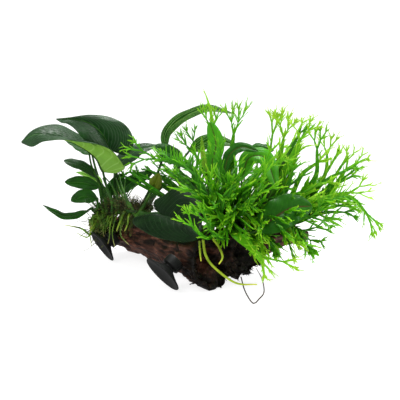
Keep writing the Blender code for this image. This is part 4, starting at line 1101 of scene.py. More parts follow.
def bladeRelief(u, v, half, values, turn):  # how far the upper side stands up at a spot
    side = abs(v)
    ripples = math.sin(veinCourse["ripplesAlong"] * u + veinCourse["ripplesAcross"] * side)
    phase = (u - values["sweep"] * side ** veinCourse["bend"]) * values["veins"] + values["wobble"] * ripples
    groove = math.exp(-(((phase - round(phase)) / 0.2) ** 2))
    fade = min(1, side * 7) * (1 - side**5) * min(1, u * 9) * min(1, (1 - u) * 5)
    height = -values["veinDepth"] * min(1, half / (14 * mm)) * groove * fade
    height -= values["midribDepth"] * math.exp(-((v * half / (1.0 * mm)) ** 2)) * min(1, (1 - u) * 6)
    height += values["arch"] * half * 4 * side * (1 - side)
    edge = math.sin(2 * math.pi * (u * values["waves"] + (turn if v > 0 else turn * 1.7)))
    return height + values["wave"] * half * edge * side**3 * min(1, u * 5) * min(1, (1 - u) * 5)


def bladePiece(name, rails, values, upper, under, turn):
    near, middle, far = zip(*rails)
    bpy.ops.object.select_all(action="DESELECT")
    bpy.ops.mesh.primitive_grid_add(x_subdivisions=values["along"], y_subdivisions=values["across"], size=2)
    blade = bpy.context.object
    blade.name = blade.data.name = name
    for vert in blade.data.vertices:
        u, v = (vert.co.x + 1) / 2, vert.co.y
        a, b, c = curveThrough(near, u), curveThrough(middle, u), curveThrough(far, u)
        ahead = curveThrough(middle, min(u + 0.02, 1)) - curveThrough(middle, max(u - 0.02, 0))
        up = ahead.cross(c - a).normalized()
        margin = a if v < 0 else c
        half = (margin - b).length
        vert.co = b.lerp(margin, abs(v)) + up * bladeRelief(u, v, half, values, turn)
    blade.data.materials.append(upper)
    blade.data.materials.append(under)
    applyModifier(
        blade, "SOLIDIFY", thickness=values["thick"], offset=-1, material_offset=1, use_even_offset=False
    )
    blade.data.shade_smooth()
    return blade


def stalkPiece(name, spec, stem, rails, values):  # the stalk runs on under the midrib
    radius, swell = values["stalk"], values["swell"]
    middle = [rail[1] for rail in rails]
    bends = [seen(*point) for point in spec["stalk"]]
    inside, start = footAndStart(stem, spec["foot"], bends[0])
    path = smoothPath([inside] + start + bends + [middle[0]], 26)
    skin = newSkin()
    radii = (radius * swell, radius * (swell * 0.6 + 0.35), radius * 1.05, radius, radius * 0.9)
    addTube(skin, path, radii, 10)  # thickest where it clasps its stem
    steps = 16
    under = []
    for step in range(steps + 1):
        u = values["under"] * step / steps
        a, b, c = [curveThrough([rail[k] for rail in rails], u) for k in range(3)]
        ahead = curveThrough(middle, u + 0.02) - curveThrough(middle, max(u - 0.02, 0))
        up = ahead.cross(c - a).normalized()
        under.append(b - up * values["below"] * min(1, 0.3 + u * 12))
    addTube(skin, under, (radius * 0.95, radius * 0.6, radius * 0.35, radius * 0.12), 8)
    return skinPiece(name, skin, stalkFinish)


def leafPiece(name, spec, stem, values, upper, under, turn):
    if "rails" in spec:
        order = spec.get("order", -1)  # the margin that comes first decides which side is the upper one
        rails = [tuple(seen(*point) for point in station[::order]) for station in spec["rails"]]
    else:
        rails = bladeRails(spec)
    blade = bladePiece(name + "_blade", rails, values, upper, under, turn)
    stalk = stalkPiece(name + "_stalk", spec, stem, rails, values)
    return joinPieces(name + "_leaf", [blade, stalk])


def veined(values, look, veinDepth):  # the grooves of the mesh lie where the finish paints the veins
    return values | {key: look[key] for key in ("veins", "sweep", "wobble")} | {"veinDepth": veinDepth}


anubiasStyles = {
    "plain": {"finish": anubiasFinish, "look": anubiasLook, "veinDepth": 0.26 * mm},
    "top": {"finish": topLeafFinish, "look": topLeafLook, "veinDepth": 0.5 * mm},
    "far": {"finish": farLeafFinish, "look": farLeafLook, "veinDepth": 0.6 * mm},
    "pale": {"finish": anubiasUnderFinish, "look": anubiasUnderLook, "veinDepth": 0.26 * mm},
    "front": {"finish": frontLeafFinish, "look": frontLeafLook, "veinDepth": 0.2 * mm},
    "striped": {"finish": stripedLeafFinish, "look": stripedLeafLook, "veinDepth": 0.3 * mm},
    "young": {"finish": youngLeafFinish, "look": youngLeafLook, "veinDepth": 0.2 * mm},
}
styledLeaves = {
    "leaf_top": "top", "leaf_far_left": "far", "leaf_behind_top": "top", "leaf_left_small": "top",
    "leaf_left_folded": "pale", "leaf_front": "front", "leaf_arching": "striped",
    "leaf_behind_fern": "striped", "leaf_young": "young",
}
for number, (leafName, spec) in enumerate(anubiasLeaves.items()):
    style = anubiasStyles[styledLeaves.get(leafName, "plain")]
    values = veined(bladeValues, style["look"], style["veinDepth"])
    upper, under, turn = style["finish"], anubiasUnderFinish, number * values["turn"]
    finishPiece(leafPiece(leafName, spec, anubiasStem, values, upper, under, turn), "anubias_leaf", leafName)

# Stalk bases and thin bare stalks at the crown of the anubias.
crownStalks = (
    {"line": [(136.5, 216.5, 30), (130, 206, 33), (125, 195, 38), (121, 183, 46), (119, 172, 54)],
     "thick": (4.0, 4.0, 2.6, 1.6, 1.1)},
    {"line": [(125, 197, 38), (124.5, 188, 42), (125.5, 178, 48)], "thick": (1.3, 1.0, 0.7)},
    {"line": [(125, 198, 37), (129, 191, 40), (134, 186, 44)], "thick": (1.3, 0.9, 0.5)},
    {"line": [(126, 199, 37), (132, 190, 42), (139, 182, 48)], "thick": (1.3, 1.0, 0.7)},
    {"line": [(104, 211, 60), (96, 200, 62), (87, 188, 64), (81, 180, 66)], "thick": (2.4, 1.8, 1.4, 1.1)},
    {"line": [(112, 212, 50), (112, 202, 54), (108, 192, 60), (101, 183, 66)], "thick": (3.2, 2.4, 1.6, 1.1)},
    {"line": [(131, 214, 38), (126, 204, 44), (120, 190, 54), (116, 178, 62)], "thick": (3.6, 3.0, 2.0, 1.4)},
    {"line": [(107, 212, 58), (106, 199, 62), (101, 184, 68)], "thick": (2.4, 2.0, 1.4)},
    {"line": [(119, 213, 48), (118, 200, 54), (112, 186, 60), (104, 176, 66)], "thick": (2.8, 2.2, 1.6, 1.2)},
    {"line": [(99, 210, 66), (92, 202, 68), (85, 196, 70)], "thick": (2.0, 1.6, 1.2)},
    {"line": [(107, 213, 58), (105.5, 203, 60), (101, 190, 63), (96, 177, 67), (91, 164, 72), (89, 152, 76)],
     "thick": (3.4, 3.0, 2.4, 2.0, 1.9, 1.7)},
    {"line": [(114, 213, 54), (111, 200, 58), (107, 188, 62), (103, 178, 66)], "thick": (3.2, 2.8, 2.2, 1.4)},
    {"line": [(136, 217, 24), (141, 211, 24), (147, 200, 26), (152.5, 190, 29)],
     "thick": (3.6, 4.0, 3.2, 2.2)},
)
skin = newSkin()
for spec in crownStalks:
    path = smoothPath([seen(*point) for point in spec["line"]], 20)
    addTube(skin, path, [thick * mm / 2 for thick in spec["thick"]], 12)
finishPiece(skinPiece("crown_stalks", skin, crownFinish), "anubias_leaf")

shadedLeaves = {  # small leaves that show between the stalks
    "leaf_shaded": {
        "foot": 0.5, "stalk": [(121, 203, 64)], "blade": [(119, 194, 68), (131, 182, 72), (153, 172, 70)],
        "faces": [(0.1, -0.75, 0.65), (0.1, -0.7, 0.7)], "width": 16, "fold": 6, "fall": 0.6,
    },
    "leaf_shaded_low": {
        "foot": 0.4, "stalk": [(105, 206, 72)], "blade": [(106, 199, 76), (113, 186, 80), (124, 174, 82)],
        "faces": [(0.3, -0.8, 0.5), (0.3, -0.8, 0.5)], "width": 12, "fold": 6, "fall": 0.5,
    },
}
shadedValues = veined(bladeValues, anubiasLook, bladeValues["veinDepth"])
shadedValues |= {"stalk": 1 * mm, "swell": 1.5, "turn": 0.2}
for leafName, spec in shadedLeaves.items():
    leaf = leafPiece(
        leafName, spec, anubiasStem, shadedValues, anubiasFinish, anubiasFinish, shadedValues["turn"]
    )
    finishPiece(leaf, "anubias_leaf")
print("anubias leaves done")

fernLeaves = {
    "fern_leaf_upright": {
        "foot": 0.18, "stalk": [(222, 205, -16)],
        "blade": [(217, 180, -8), (212, 164, -5), (216, 144, -1), (210, 122, 4)],
        "faces": [(-0.2, -0.95, 0.2), (0.1, -0.95, 0.2), (-0.2, -0.95, 0.3)],
        "width": 15, "fold": 8, "fall": 0.5,
    },
    "fern_leaf_narrow": {
        "foot": 0.06, "stalk": [(212, 205, -22)],
        "blade": [(206, 172, -16), (203, 154, -14), (201.5, 136, -12)],
        "faces": [(-0.3, -0.9, 0.2), (-0.3, -0.9, 0.2)], "width": 5, "fold": 8,
    },
    "fern_leaf_bent": {
        "foot": 0.26, "stalk": [(226, 200, -24)],
        "blade": [(223, 176, -20), (229, 156, -18), (241, 147, -18), (258, 151, -20)],
        "faces": [(-0.6, -0.7, 0.4), (0, -0.8, 0.6)], "width": 11, "fold": 8, "fall": 0.6,
    },
    "fern_leaf_round": {
        "foot": 0.5, "stalk": [(244, 195, 24)],
        "blade": [(245, 160, 32), (258, 149, 34), (274, 150, 34)],
        "faces": [(-0.1, -0.7, 0.7), (0.1, -0.6, 0.8)], "width": 16, "fold": 5, "fall": 0.6,
    },
    "fern_leaf_broad": {
        "foot": 0.34, "stalk": [(240, 200, -12)],
        "blade": [(242, 178, -8), (249, 158, -8), (266, 159, -10), (277, 190, -14)],
        "faces": [(-0.4, -0.8, 0.4), (0.1, -0.8, 0.6), (0.4, -0.8, 0.4)], "width": 17, "fold": 8, "fall": 0.6,
    },
    "fern_leaf_large": {
        "foot": 0.3, "stalk": [(250, 232, -58)],
        "blade": [(257, 231, -63), (274, 218, -62), (292, 208, -58), (312, 206, -52)],
        "faces": [(-0.15, -0.9, 0.4), (-0.05, -0.9, 0.4)], "width": 27, "fold": 6, "fall": 0.6,
    },
    "fern_leaf_low": {
        "foot": 0.66, "stalk": [(276, 213, 18)],
        "blade": [(286, 205, 20), (300, 199, 22), (318, 201, 22)],
        "faces": [(0, -0.7, 0.7), (0.1, -0.7, 0.7)], "width": 11, "fold": 6,
    },
}


fernBladeValues = bladeValues | {
    "along": 96, "across": 24, "thick": 0.35 * mm, "midribDepth": 0.35 * mm, "wave": 0.09, "waves": 4.3,
    "arch": 0.12, "turn": 0.29, "stalk": 0.75 * mm, "swell": 1.5,
}
fernBladeValues = veined(fernBladeValues, fernLeafLook, 0.3 * mm)
# Leaves in the fern's shade take its darker copy, painted shade; the narrow one is yellowing.
fernLeafFinishes = {
    "fern_leaf_bent": shadedFernLeafFinish, "fern_leaf_round": shadedFernLeafFinish,
    "fern_leaf_large": shadedFernLeafFinish, "fern_leaf_narrow": oldFernLeafFinish,
}
for number, (leafName, spec) in enumerate(fernLeaves.items()):
    finish = fernLeafFinishes.get(leafName, fernLeafFinish)
    turn = number * fernBladeValues["turn"]
    leaf = leafPiece(leafName, spec, fernStem, fernBladeValues, finish, finish, turn)
    finishPiece(leaf, "fern_leaf", leafName)
print("fern leaves done")

# Lace fronds: a ribbon that forks again and again. First come the coarse forks, as many times as
# levels says, and then one finer fork.

laceFronds = {
    "frond_01": {"foot": 0.3, "strap": [(222, 172, 30), (215, 142, 34), (212, 120, 34)],
                 "reach": 38, "spread": 26, "width": 6.5, "seed": 1, "levels": 0, "lone": 1,
                 "comb": {"count": 9, "from": 0.7, "to": 1, "long": (5, 11), "slant": 30, "fork": 0}},
    "frond_02": {"foot": 0.24, "strap": [(218, 176, 24), (213, 150, 27), (212, 133, 27)],
                 "reach": 24, "spread": 60, "width": 6, "seed": 2, "arm": 1.9 * mm, "spurs": (2, 4)},
    "frond_03": {"foot": 0.36, "strap": [(232, 180, 14), (231, 158, 14), (233, 140, 14)],
                 "reach": 34, "spread": 40, "width": 7, "seed": 3, "arm": 1.9 * mm, "spurs": (2, 4)},
    "frond_04": {"foot": 0.54, "strap": [(262, 180, 46), (269, 156, 48), (272, 138, 48)],
                 "reach": 24, "spread": 32, "width": 3, "seed": 4},
    "frond_05": {"foot": 0.56, "strap": [(268, 182, 12), (279, 160, 10), (283, 142, 10)],
                 "reach": 26, "spread": 50, "width": 6, "seed": 5, "spurs": (2, 4)},
    "frond_06": {"foot": 0.6, "strap": [(280, 180, -2), (292, 158, -4), (298, 144, -4)],
                 "reach": 26, "spread": 66, "width": 8, "seed": 6},
    "frond_07": {"foot": 0.72, "strap": [(300, 195, 8), (316, 176, 6), (317, 153, 6)],
                 "reach": 22, "spread": 46, "width": 5, "seed": 7, "spurs": (0, 2), "comb": {"count": 4}},
    "frond_08": {"foot": 0.8, "strap": [(308, 200, 32), (325, 175, 34), (327, 158, 34)],
                 "reach": 24, "spread": 46, "width": 5, "seed": 8, "spurs": (0, 2), "comb": {"count": 4}},
    "frond_09": {"foot": 0.86, "strap": [(312, 205, 18), (332, 190, 18), (344, 172, 18)],
                 "reach": 26, "spread": 58, "width": 6, "seed": 9, "spurs": (0, 2),
                 "comb": {"count": 7, "from": 0.45, "long": (10, 20), "slant": 34, "fork": 0.3}},
    "frond_10": {"foot": 0.96, "strap": [(314, 206, 0), (333, 196, -6), (346, 193, -8)],
                 "reach": 22, "spread": 46, "width": 6, "seed": 10, "spurs": (0, 2),
                 "comb": {"count": 8, "from": 0.4, "long": (13, 25), "slant": 40, "sign": 1, "fork": 0.3}},
    "frond_11": {"foot": 0.93, "strap": [(320, 208, -18), (338, 199, -24), (354, 199, -26), (364, 210, -26)],
                 "reach": 20, "spread": 30, "width": 5, "seed": 11, "spurs": (1, 3),
                 "rise": Vector((0, 0, -0.35)),
                 "comb": {"count": 15, "from": 0.45, "to": 1, "long": (7, 17), "slant": 42, "sign": -1}},
    "frond_12": {"foot": 0.99, "strap": [(318, 214, 8), (331, 212, 4), (341, 212, 4)],
                 "reach": 16, "spread": 44, "width": 4, "seed": 12, "levels": 2},
    "frond_13": {"foot": 0.7, "strap": [(292, 222, -32), (307, 218, -38)],
                 "reach": 26, "spread": 62, "width": 9, "seed": 13},
    "frond_14": {"foot": 0.78, "strap": [(284, 226, -12), (299, 230, -18)],
                 "reach": 28, "spread": 66, "width": 8, "seed": 14},
    "frond_15": {"foot": 0.14, "strap": [(237, 235, -68), (250, 246, -72), (259, 258, -74)],
                 "reach": 15, "spread": 44, "width": 9, "seed": 15, "levels": 2,
                 "rise": Vector((0, 0, -0.3))},
    "frond_16": {"foot": 0.2, "strap": [(245, 233, -62), (260, 255, -70), (280, 261, -68)],
                 "reach": 15, "spread": 34, "width": 2, "seed": 16, "levels": 2},
    "frond_17": {"foot": 0.02, "strap": [(212, 236, -68), (205, 238, -72), (195, 229, -72)],
                 "reach": 17, "spread": 50, "width": 4, "seed": 17, "levels": 2, "arm": 1.7 * mm},
    "frond_18": {"foot": 0.0, "strap": [(205, 195, -30), (192, 171, -26), (174, 161, -24)],
                 "reach": 14, "spread": 36, "width": 4, "seed": 18, "spurs": (0, 2),
                 "comb": {"count": 16, "from": 0.5, "to": 1, "long": (9, 18), "slant": 62, "sign": -1,
                          "fork": 0.15}},
    "frond_19": {"foot": 0.1, "strap": [(206, 190, -2), (186, 168, 8), (160, 160, 12)],
                 "reach": 32, "spread": 36, "width": 3.4, "seed": 19, "spurs": (0, 2),
                 "rise": Vector((0, 0, -0.1)),
                 "comb": {"count": 24, "from": 0.42, "to": 1, "long": (10, 22), "slant": 64, "sign": -1,
                          "fork": 0.2}},
    "frond_20": {"foot": 0.14, "strap": [(208, 180, 34), (197, 158, 40)],
                 "reach": 28, "spread": 44, "width": 6, "seed": 20},
    "frond_21": {"foot": 0.08, "strap": [(218, 212, -58), (224, 200, -62), (232, 188, -62)],
                 "reach": 26, "spread": 60, "width": 9, "seed": 21, "levels": 2},
    "frond_22": {"foot": 0.22, "strap": [(236, 216, -52), (246, 206, -56), (256, 196, -56)],
                 "reach": 28, "spread": 62, "width": 9, "seed": 22, "levels": 2},
    "frond_23": {"foot": 0.04, "strap": [(212, 206, -48), (204, 194, -50), (198, 180, -48)],
                 "reach": 26, "spread": 56, "width": 8, "seed": 23, "levels": 2},
    "frond_24": {"foot": 0.44, "strap": [(262, 216, -26), (276, 205, -26), (286, 190, -26)],
                 "reach": 26, "spread": 56, "width": 8, "seed": 24, "levels": 2},
    "frond_25": {"foot": 0.28, "strap": [(240, 205, -38), (250, 184, -38), (260, 172, -38)],
                 "reach": 28, "spread": 56, "width": 8, "seed": 25, "levels": 2},
    "frond_26": {"foot": 0.12, "strap": [(224, 200, -42), (226, 184, -42), (222, 170, -42)],
                 "reach": 26, "spread": 60, "width": 8, "seed": 26, "levels": 2},
    "frond_27": {"foot": 0.06, "strap": [(226, 238, -72), (216, 236, -78), (209, 226, -80)],
                 "reach": 20, "spread": 46, "width": 4, "seed": 27, "levels": 2, "arm": 1.7 * mm},
}


# What all fronds share. A frond may state its own rise, arm, spurs, lone and parts of comb: comb is
# the row of fingers along a strap, spurs are those along an arm, and lone is the share of fine
# forks that stay one finger. Lengths in comb are in millimetres.
frondValues = {
    "thick": 0.42 * mm, "stalk": 1.5 * mm, "arm": 2.2 * mm, "shrink": 0.82, "roll": 20, "crotch": 0.3,
    "tip": 0.42 * mm, "keel": 0.16, "rise": Vector((0, 0, 0.16)), "face": Vector((0, -0.8, 0.6)).normalized(),
    "spurs": (1, 3), "spurLong": (0.45, 1.1), "spurSlant": (15, 34), "spurRoll": 28, "spurBend": 26,
    "spurLift": (0.04, 0.12), "spurForks": 6 * mm, "lone": 0.35, "fingerTurn": 26,
    "comb": {"count": 6, "from": 0.5, "to": 0.98, "long": (6, 13), "slant": 30, "fork": 0.5},
    "draws": {"fork": 1009, "lean": 211, "single": 313, "finger": 517, "length": 877, "spurs": 7919},
}


def addSection(skin, place, side, up, width, u):  # one section of a ribbon: two margins and the midrib
    first = len(skin["corners"])
    half = side * width / 2
    skin["corners"] += [place - half, place - up * width * frondValues["keel"], place + half]
    skin["places"] += [(u, 0.0), (u, 0.5), (u, 1.0)]
    return [first, first + 1, first + 2]


def joinSections(skin, before, after):
    skin["faces"] += [(before[0], before[1], after[1], after[0]), (before[1], before[2], after[2], after[1])]


def armPath(start, heading, end, endHeading, steps):
    reach = (end - start).length
    points = []
    for step in range(1, steps + 1):
        t = step / steps
        a, b = 2 * t**3 - 3 * t**2 + 1, t**3 - 2 * t**2 + t
        c, d = -2 * t**3 + 3 * t**2, t**3 - t**2
        points.append(start * a + heading * reach * b + end * c + endHeading * reach * d)
    return points


def growArm(skin, section, start, heading, face, end, endHeading, endFace, widths, span, steps):
    points = [start] + armPath(start, heading, end, endHeading, steps)
    along = tangentsOf(points)
    for step in range(1, len(points)):
        t = step / steps
        facing = face.lerp(endFace, t)
        side = facing.cross(along[step]).normalized()
        up = along[step].cross(side)
        width = widths[0] + (widths[1] - widths[0]) * t**1.3 + widths[2] * math.sin(math.pi * t)
        after = addSection(skin, points[step], side, up, width, span[0] + (span[1] - span[0]) * t)
        joinSections(skin, section, after)
        section = after
    return section, points, along


def closeTip(skin, section, heading, width):
    tip = len(skin["corners"])
    middle = (skin["corners"][section[0]] + skin["corners"][section[2]]) / 2
    skin["corners"].append(middle + heading * width * 1.6)
    skin["places"].append((1.0, 0.5))
    skin["faces"] += [(section[0], section[1], tip), (section[1], section[2], tip)]


def forkSections(skin, section, heading, depth):  # splits a section in two at a crotch
    left, middle, right = [skin["corners"][index] for index in section]
    crotch = len(skin["corners"])
    forward = heading * (right - left).length
    skin["corners"] += [
        (left + right) / 2 + forward * depth, (left * 0.6 + middle * 0.4) + forward * 0.25,
        (right * 0.6 + middle * 0.4) + forward * 0.25, left + forward * 0.2, right + forward * 0.2,
    ]
    u = skin["places"][section[1]][0]
    skin["places"] += [(u, 0.5), (u, 0.25), (u, 0.75), (u, 0.0), (u, 1.0)]
    nearLeft, nearRight, outLeft, outRight = crotch + 1, crotch + 2, crotch + 3, crotch + 4
    skin["faces"] += [
        (section[0], section[1], crotch, nearLeft, outLeft),
        (section[1], section[2], outRight, nearRight, crotch),
    ]
    return (outLeft, nearLeft, crotch), (crotch, nearRight, outRight)


def addSpur(skin, place, heading, face, length, width, chance, u, forked=0.6):  # a tapering side finger
    roll, bend = frondValues["spurRoll"], frondValues["spurBend"]
    facing = turned(face, heading, chance.uniform(-roll, roll))
    side = facing.cross(heading).normalized()
    lift = facing.normalized() * chance.uniform(*frondValues["spurLift"]) * mm
    start = place + lift - heading * width * 0.3
    section = addSection(skin, start, side, heading.cross(side), width, u)
    bent = turned(heading, facing, chance.uniform(-bend, bend))
    end = start + (heading + bent).normalized() * length
    if length > frondValues["spurForks"] and chance.random() < forked:  # a long one forks at its tip
        fork = start.lerp(end, 0.6)
        section, points, along = growArm(
            skin, section, start, heading, facing, fork, (heading + bent).normalized(), facing,
            (width, width * 0.95, 0), (u, u + (1 - u) * 0.5), 3,
        )
        for half, sign in zip(forkSections(skin, section, along[-1], 0.7), (1, -1)):
            ahead = turned(along[-1], facing, sign * chance.uniform(10, 28))
            foot = (skin["corners"][half[0]] + skin["corners"][half[2]]) / 2
            point = foot + ahead * length * chance.uniform(0.25, 0.5)
            tip, points, last = growArm(
                skin, half, foot, along[-1], facing, point, ahead, facing,
                (width * 0.55, frondValues["tip"], 0.2 * mm), (u + (1 - u) * 0.5, 1), 3,
            )
            closeTip(skin, tip, last[-1], frondValues["tip"])
        return
    section, points, along = growArm(
        skin, section, start, heading, facing, end, bent, facing,
        (width, frondValues["tip"], 0.15 * mm), (u, 1), 3,
    )
    closeTip(skin, section, along[-1], frondValues["tip"])


def addSpurs(skin, points, along, face, count, reach, chance, span, width):
    sign = chance.choice((-1, 1))
    for number in range(count):
        t = min(0.95, (number + chance.uniform(0.3, 0.9)) / count)
        place = blendVectors(points, t)
        slant = sign * chance.uniform(*frondValues["spurSlant"])
        heading = turned(blendVectors(along, t).normalized(), face, slant)
        sign = -sign if chance.random() < 0.75 else sign
        length = reach * chance.uniform(*frondValues["spurLong"]) * (1.1 - 0.4 * t)
        u = span[0] + (span[1] - span[0]) * t
        thick = width * chance.uniform(0.6, 0.85)
        addSpur(skin, place, heading, face, max(length, 2.5 * mm), thick, chance, u)


def forkChance(plan, purpose, code):  # each choice at a fork draws apart from the others
    return random.Random(plan["seed"] * frondValues["draws"][purpose] + code)


def growForks(skin, section, heading, face, length, code, level, plan):
    chance = forkChance(plan, "fork", code)
    fine = level > plan["levels"]
    spread = plan["spread"] * (0.66 if fine else 1)
    lean = forkChance(plan, "lean", code).choice((0.15, 0.35, 0.65, 0.85)) if fine else 0.5
    if fine and forkChance(plan, "single", code).random() < plan["lone"]:  # one long finger, not two
        lone = forkChance(plan, "finger", code)
        start = (skin["corners"][section[0]] + skin["corners"][section[2]]) / 2
        width = (skin["corners"][section[2]] - skin["corners"][section[0]]).length
        ahead = turned(heading, face, lone.uniform(-frondValues["fingerTurn"], frondValues["fingerTurn"]))
        end = start + (heading + ahead).normalized() * length * lone.uniform(0.5, 0.85)
        arm, points, along = growArm(
            skin, section, start, heading, face, end, ahead, face,
            (width, frondValues["tip"], 0.2 * mm), (skin["places"][section[1]][0], 1), 5,
        )
        addSpurs(skin, points, along, face, lone.randint(0, 2), 6 * mm, lone, (0.6, 1), 1.2 * mm)
        closeTip(skin, arm, along[-1], frondValues["tip"])
        return
    halves = forkSections(skin, section, heading, frondValues["crotch"] / math.tan(math.radians(spread / 2)))
    for child, sign in ((0, 1), (1, -1)):
        childFace = turned(face, heading, chance.uniform(-1, 1) * frondValues["roll"])
        part = lean if sign > 0 else 1 - lean
        childHeading = turned(heading, childFace, sign * spread * part * chance.uniform(0.7, 1.3))
        half = halves[child]
        start = (skin["corners"][half[0]] + skin["corners"][half[2]]) / 2
        reach = length * chance.uniform(0.75, 1.15)
        last = level == plan["levels"] + 1
        if level >= plan["levels"]:  # the last coarse arms are shared out among finer forks
            reach *= 0.46 if not last else 0.54
        end = start + childHeading * reach
        width = (skin["corners"][half[2]] - skin["corners"][half[0]]).length
        if fine:  # a finger bends back along the arm it grew from
            reach *= forkChance(plan, "length", code * 2 + child).uniform(0.6, 1.3)
            end = start + (childHeading * 0.8 + heading * 0.2).normalized() * reach
        follow = 0.55 if fine else 0.25
        ahead = (childHeading.lerp(heading, follow) + plan["rise"] * follow * 2).normalized()
        endWidth = frondValues["tip"] if last else plan["arm"] - 0.28 * mm * level
        u0 = skin["places"][half[1]][0]
        u1 = u0 + (1 - u0) * (1 if last else 0.38)
        arm, points, along = growArm(
            skin, half, start, (heading + childHeading).normalized(), face, end, ahead, childFace,
            (width, endWidth, 0.25 * mm if last else 0), (u0, u1), 4,
        )
        side = forkChance(plan, "spurs", code * 2 + child)
        count = side.randint(*plan["spurs"]) if not last else side.randint(0, 1)
        finger = endWidth + 0.2 * mm
        addSpurs(skin, points, along, childFace, count, max(reach, 7 * mm), side, (u0, u1), finger)
        if last:
            closeTip(skin, arm, along[-1], endWidth)
        else:
            shrink = frondValues["shrink"] if level < plan["levels"] else 1
            growForks(skin, arm, along[-1], childFace, length * shrink, code * 2 + child, level + 1, plan)


def strapWidth(share, width):
    return frondValues["stalk"] + (width - frondValues["stalk"]) * math.sin(math.pi * 0.88 * share**0.8)


def growFrond(skin, path, faces, spec, levels):
    along = tangentsOf(path)
    steps = len(path) - 1
    width = spec["width"] * mm
    section = None
    for index, (place, heading) in enumerate(zip(path, along)):
        share = index / steps
        face = blendVectors(faces, share)
        side = face.cross(heading).normalized()
        ripple = heading.cross(side) * math.sin(share * 19 + spec["seed"]) * width * 0.05
        wide = strapWidth(share, width)
        after = addSection(skin, place + ripple, side, heading.cross(side), wide, 0.5 * share)
        if section:
            joinSections(skin, section, after)
        section = after
    plan = {key: frondValues[key] for key in ("lone", "rise", "spurs", "arm")} | spec | {"levels": levels}
    total = max(1, sum(frondValues["shrink"] ** level for level in range(levels)))
    growForks(skin, section, heading, face, spec["reach"] * mm / total, 1, 1, plan)
    comb = frondValues["comb"] | spec.get("comb", {})
    chance = random.Random(spec["seed"] + 500)
    for number in range(comb["count"]):
        part = (comb["to"] - comb["from"]) * (number + chance.uniform(0.2, 0.8)) / comb["count"]
        share = comb["from"] + part
        sign = comb.get("sign") or chance.choice((-1, 1))
        place, ahead = blendVectors(path, share), blendVectors(along, share).normalized()
        heading = turned(ahead, face, sign * comb["slant"] * chance.uniform(0.75, 1.25))
        place = place - face.cross(ahead).normalized() * sign * strapWidth(share, width) * 0.32
        length = chance.uniform(*comb["long"]) * mm
        wide = chance.uniform(1.1, 1.7) * mm
        addSpur(skin, place, heading, face, length, wide, chance, 0.5 * share + 0.1, comb["fork"])


def ribbonPiece(name, skin, finish, smooth=1):
    piece = skinPiece(name, skin, finish)
    selectOnly(piece)
    bpy.ops.object.mode_set(mode="EDIT")
    bpy.ops.mesh.select_all(action="SELECT")
    bpy.ops.mesh.normals_make_consistent(inside=False)
    bpy.ops.object.mode_set(mode="OBJECT")
    applyModifier(piece, "SOLIDIFY", thickness=frondValues["thick"], offset=0)
    if smooth:
        applyModifier(piece, "SUBSURF", levels=smooth, render_levels=smooth)
    piece.data.shade_smooth()
    return piece


# Fronds deep in the mass take the tone with painted shade; the outer pale ones the tone with painted light.
frondTones = {
    "deep": (
        "frond_12", "frond_13", "frond_14", "frond_18", "frond_19", "frond_20", "frond_21", "frond_23",
        "frond_24", "frond_26", "frond_27",
    ),
    "pale": ("frond_04", "frond_05", "frond_06", "frond_08", "frond_09", "frond_10", "frond_15", "frond_16"),
    "shoot": ("frond_01",),
}
for frondName, spec in laceFronds.items():
    bends = [seen(*point) for point in spec["strap"]]
    inside, start = footAndStart(fernStem, spec["foot"], bends[0])
    faces = [frondValues["face"]] * 2
    path = smoothPath([inside] + start + bends, 16)
    skin = newSkin()
    growFrond(skin, path, faces, spec, spec.get("levels", 3))
    tone = next((tone for tone, names in frondTones.items() if frondName in names), "mid")
    finishPiece(ribbonPiece(frondName + "_lace", skin, frondFinishes[tone]), "fern_leaf", frondName)
print("fronds done")

# Small fronds fill the fern and the gap behind the young leaf: each grows from the fern's stem to
# a place in one of these ovals of the picture (middle, half size, nearest and farthest).
fillValues = {
    "ovals": (
        {"middle": (222, 208), "size": (22, 22), "back": (-68, -36), "count": 30, "tones": "ddddm",
         "narrow": 0.75},
        {"middle": (250, 210), "size": (24, 26), "back": (-68, -36), "count": 30, "tones": "dddmm",
         "narrow": 0.75},
        {"middle": (284, 220), "size": (26, 12), "back": (-73, -67), "count": 10, "tones": "dm",
         "narrow": 0.7},
        {"middle": (284, 206), "size": (22, 12), "back": (-46, -20), "count": 12, "tones": "ddm"},
        {"middle": (228, 182), "size": (26, 26), "back": (6, 36), "count": 26, "tones": "dddm"},
        {"middle": (262, 184), "size": (28, 24), "back": (2, 42), "count": 22, "tones": "ddmmp",
         "narrow": 0.6},
        {"middle": (304, 206), "size": (24, 14), "back": (-30, 26), "count": 16, "tones": "ddmmp",
         "narrow": 0.7},
        {"middle": (280, 240), "size": (32, 9), "back": (-66, -20), "count": 22, "tones": "dmmp",
         "narrow": 0.7},
        {"middle": (203, 190), "size": (12, 16), "back": (-50, -10), "count": 9, "tones": "dmm",
         "narrow": 0.7},
        {"middle": (290, 148), "size": (20, 22), "back": (0, 44), "count": 13, "tones": "dmpp"},
        {"middle": (330, 174), "size": (24, 20), "back": (0, 34), "count": 8, "tones": "mmp"},
        {"middle": (340, 203), "size": (16, 6), "back": (-28, 6), "count": 5, "tones": "dm"},
        {"middle": (186, 170), "size": (15, 15), "back": (10, 34), "count": 12, "tones": "dm", "narrow": 0.8},
        {"middle": (168, 168), "size": (26, 6), "back": (62, 76), "count": 10, "tones": "dd"},
        {"middle": (134, 176), "size": (12, 5), "back": (62, 76), "count": 5, "tones": "d"},
    ),
    # d is the tone with painted shade, p the yellower one with painted light.
    "tones": {"m": "mid", "d": "deep", "p": "pale"},
    "seed": 71, "reach": (10, 19), "width": (2.2, 4.6), "spread": (36, 62), "narrow": 0.45,
    "stemFrom": 205, "stemWide": 110, "stemShare": 0.85,  # where on the stem the frond of a column grows
}


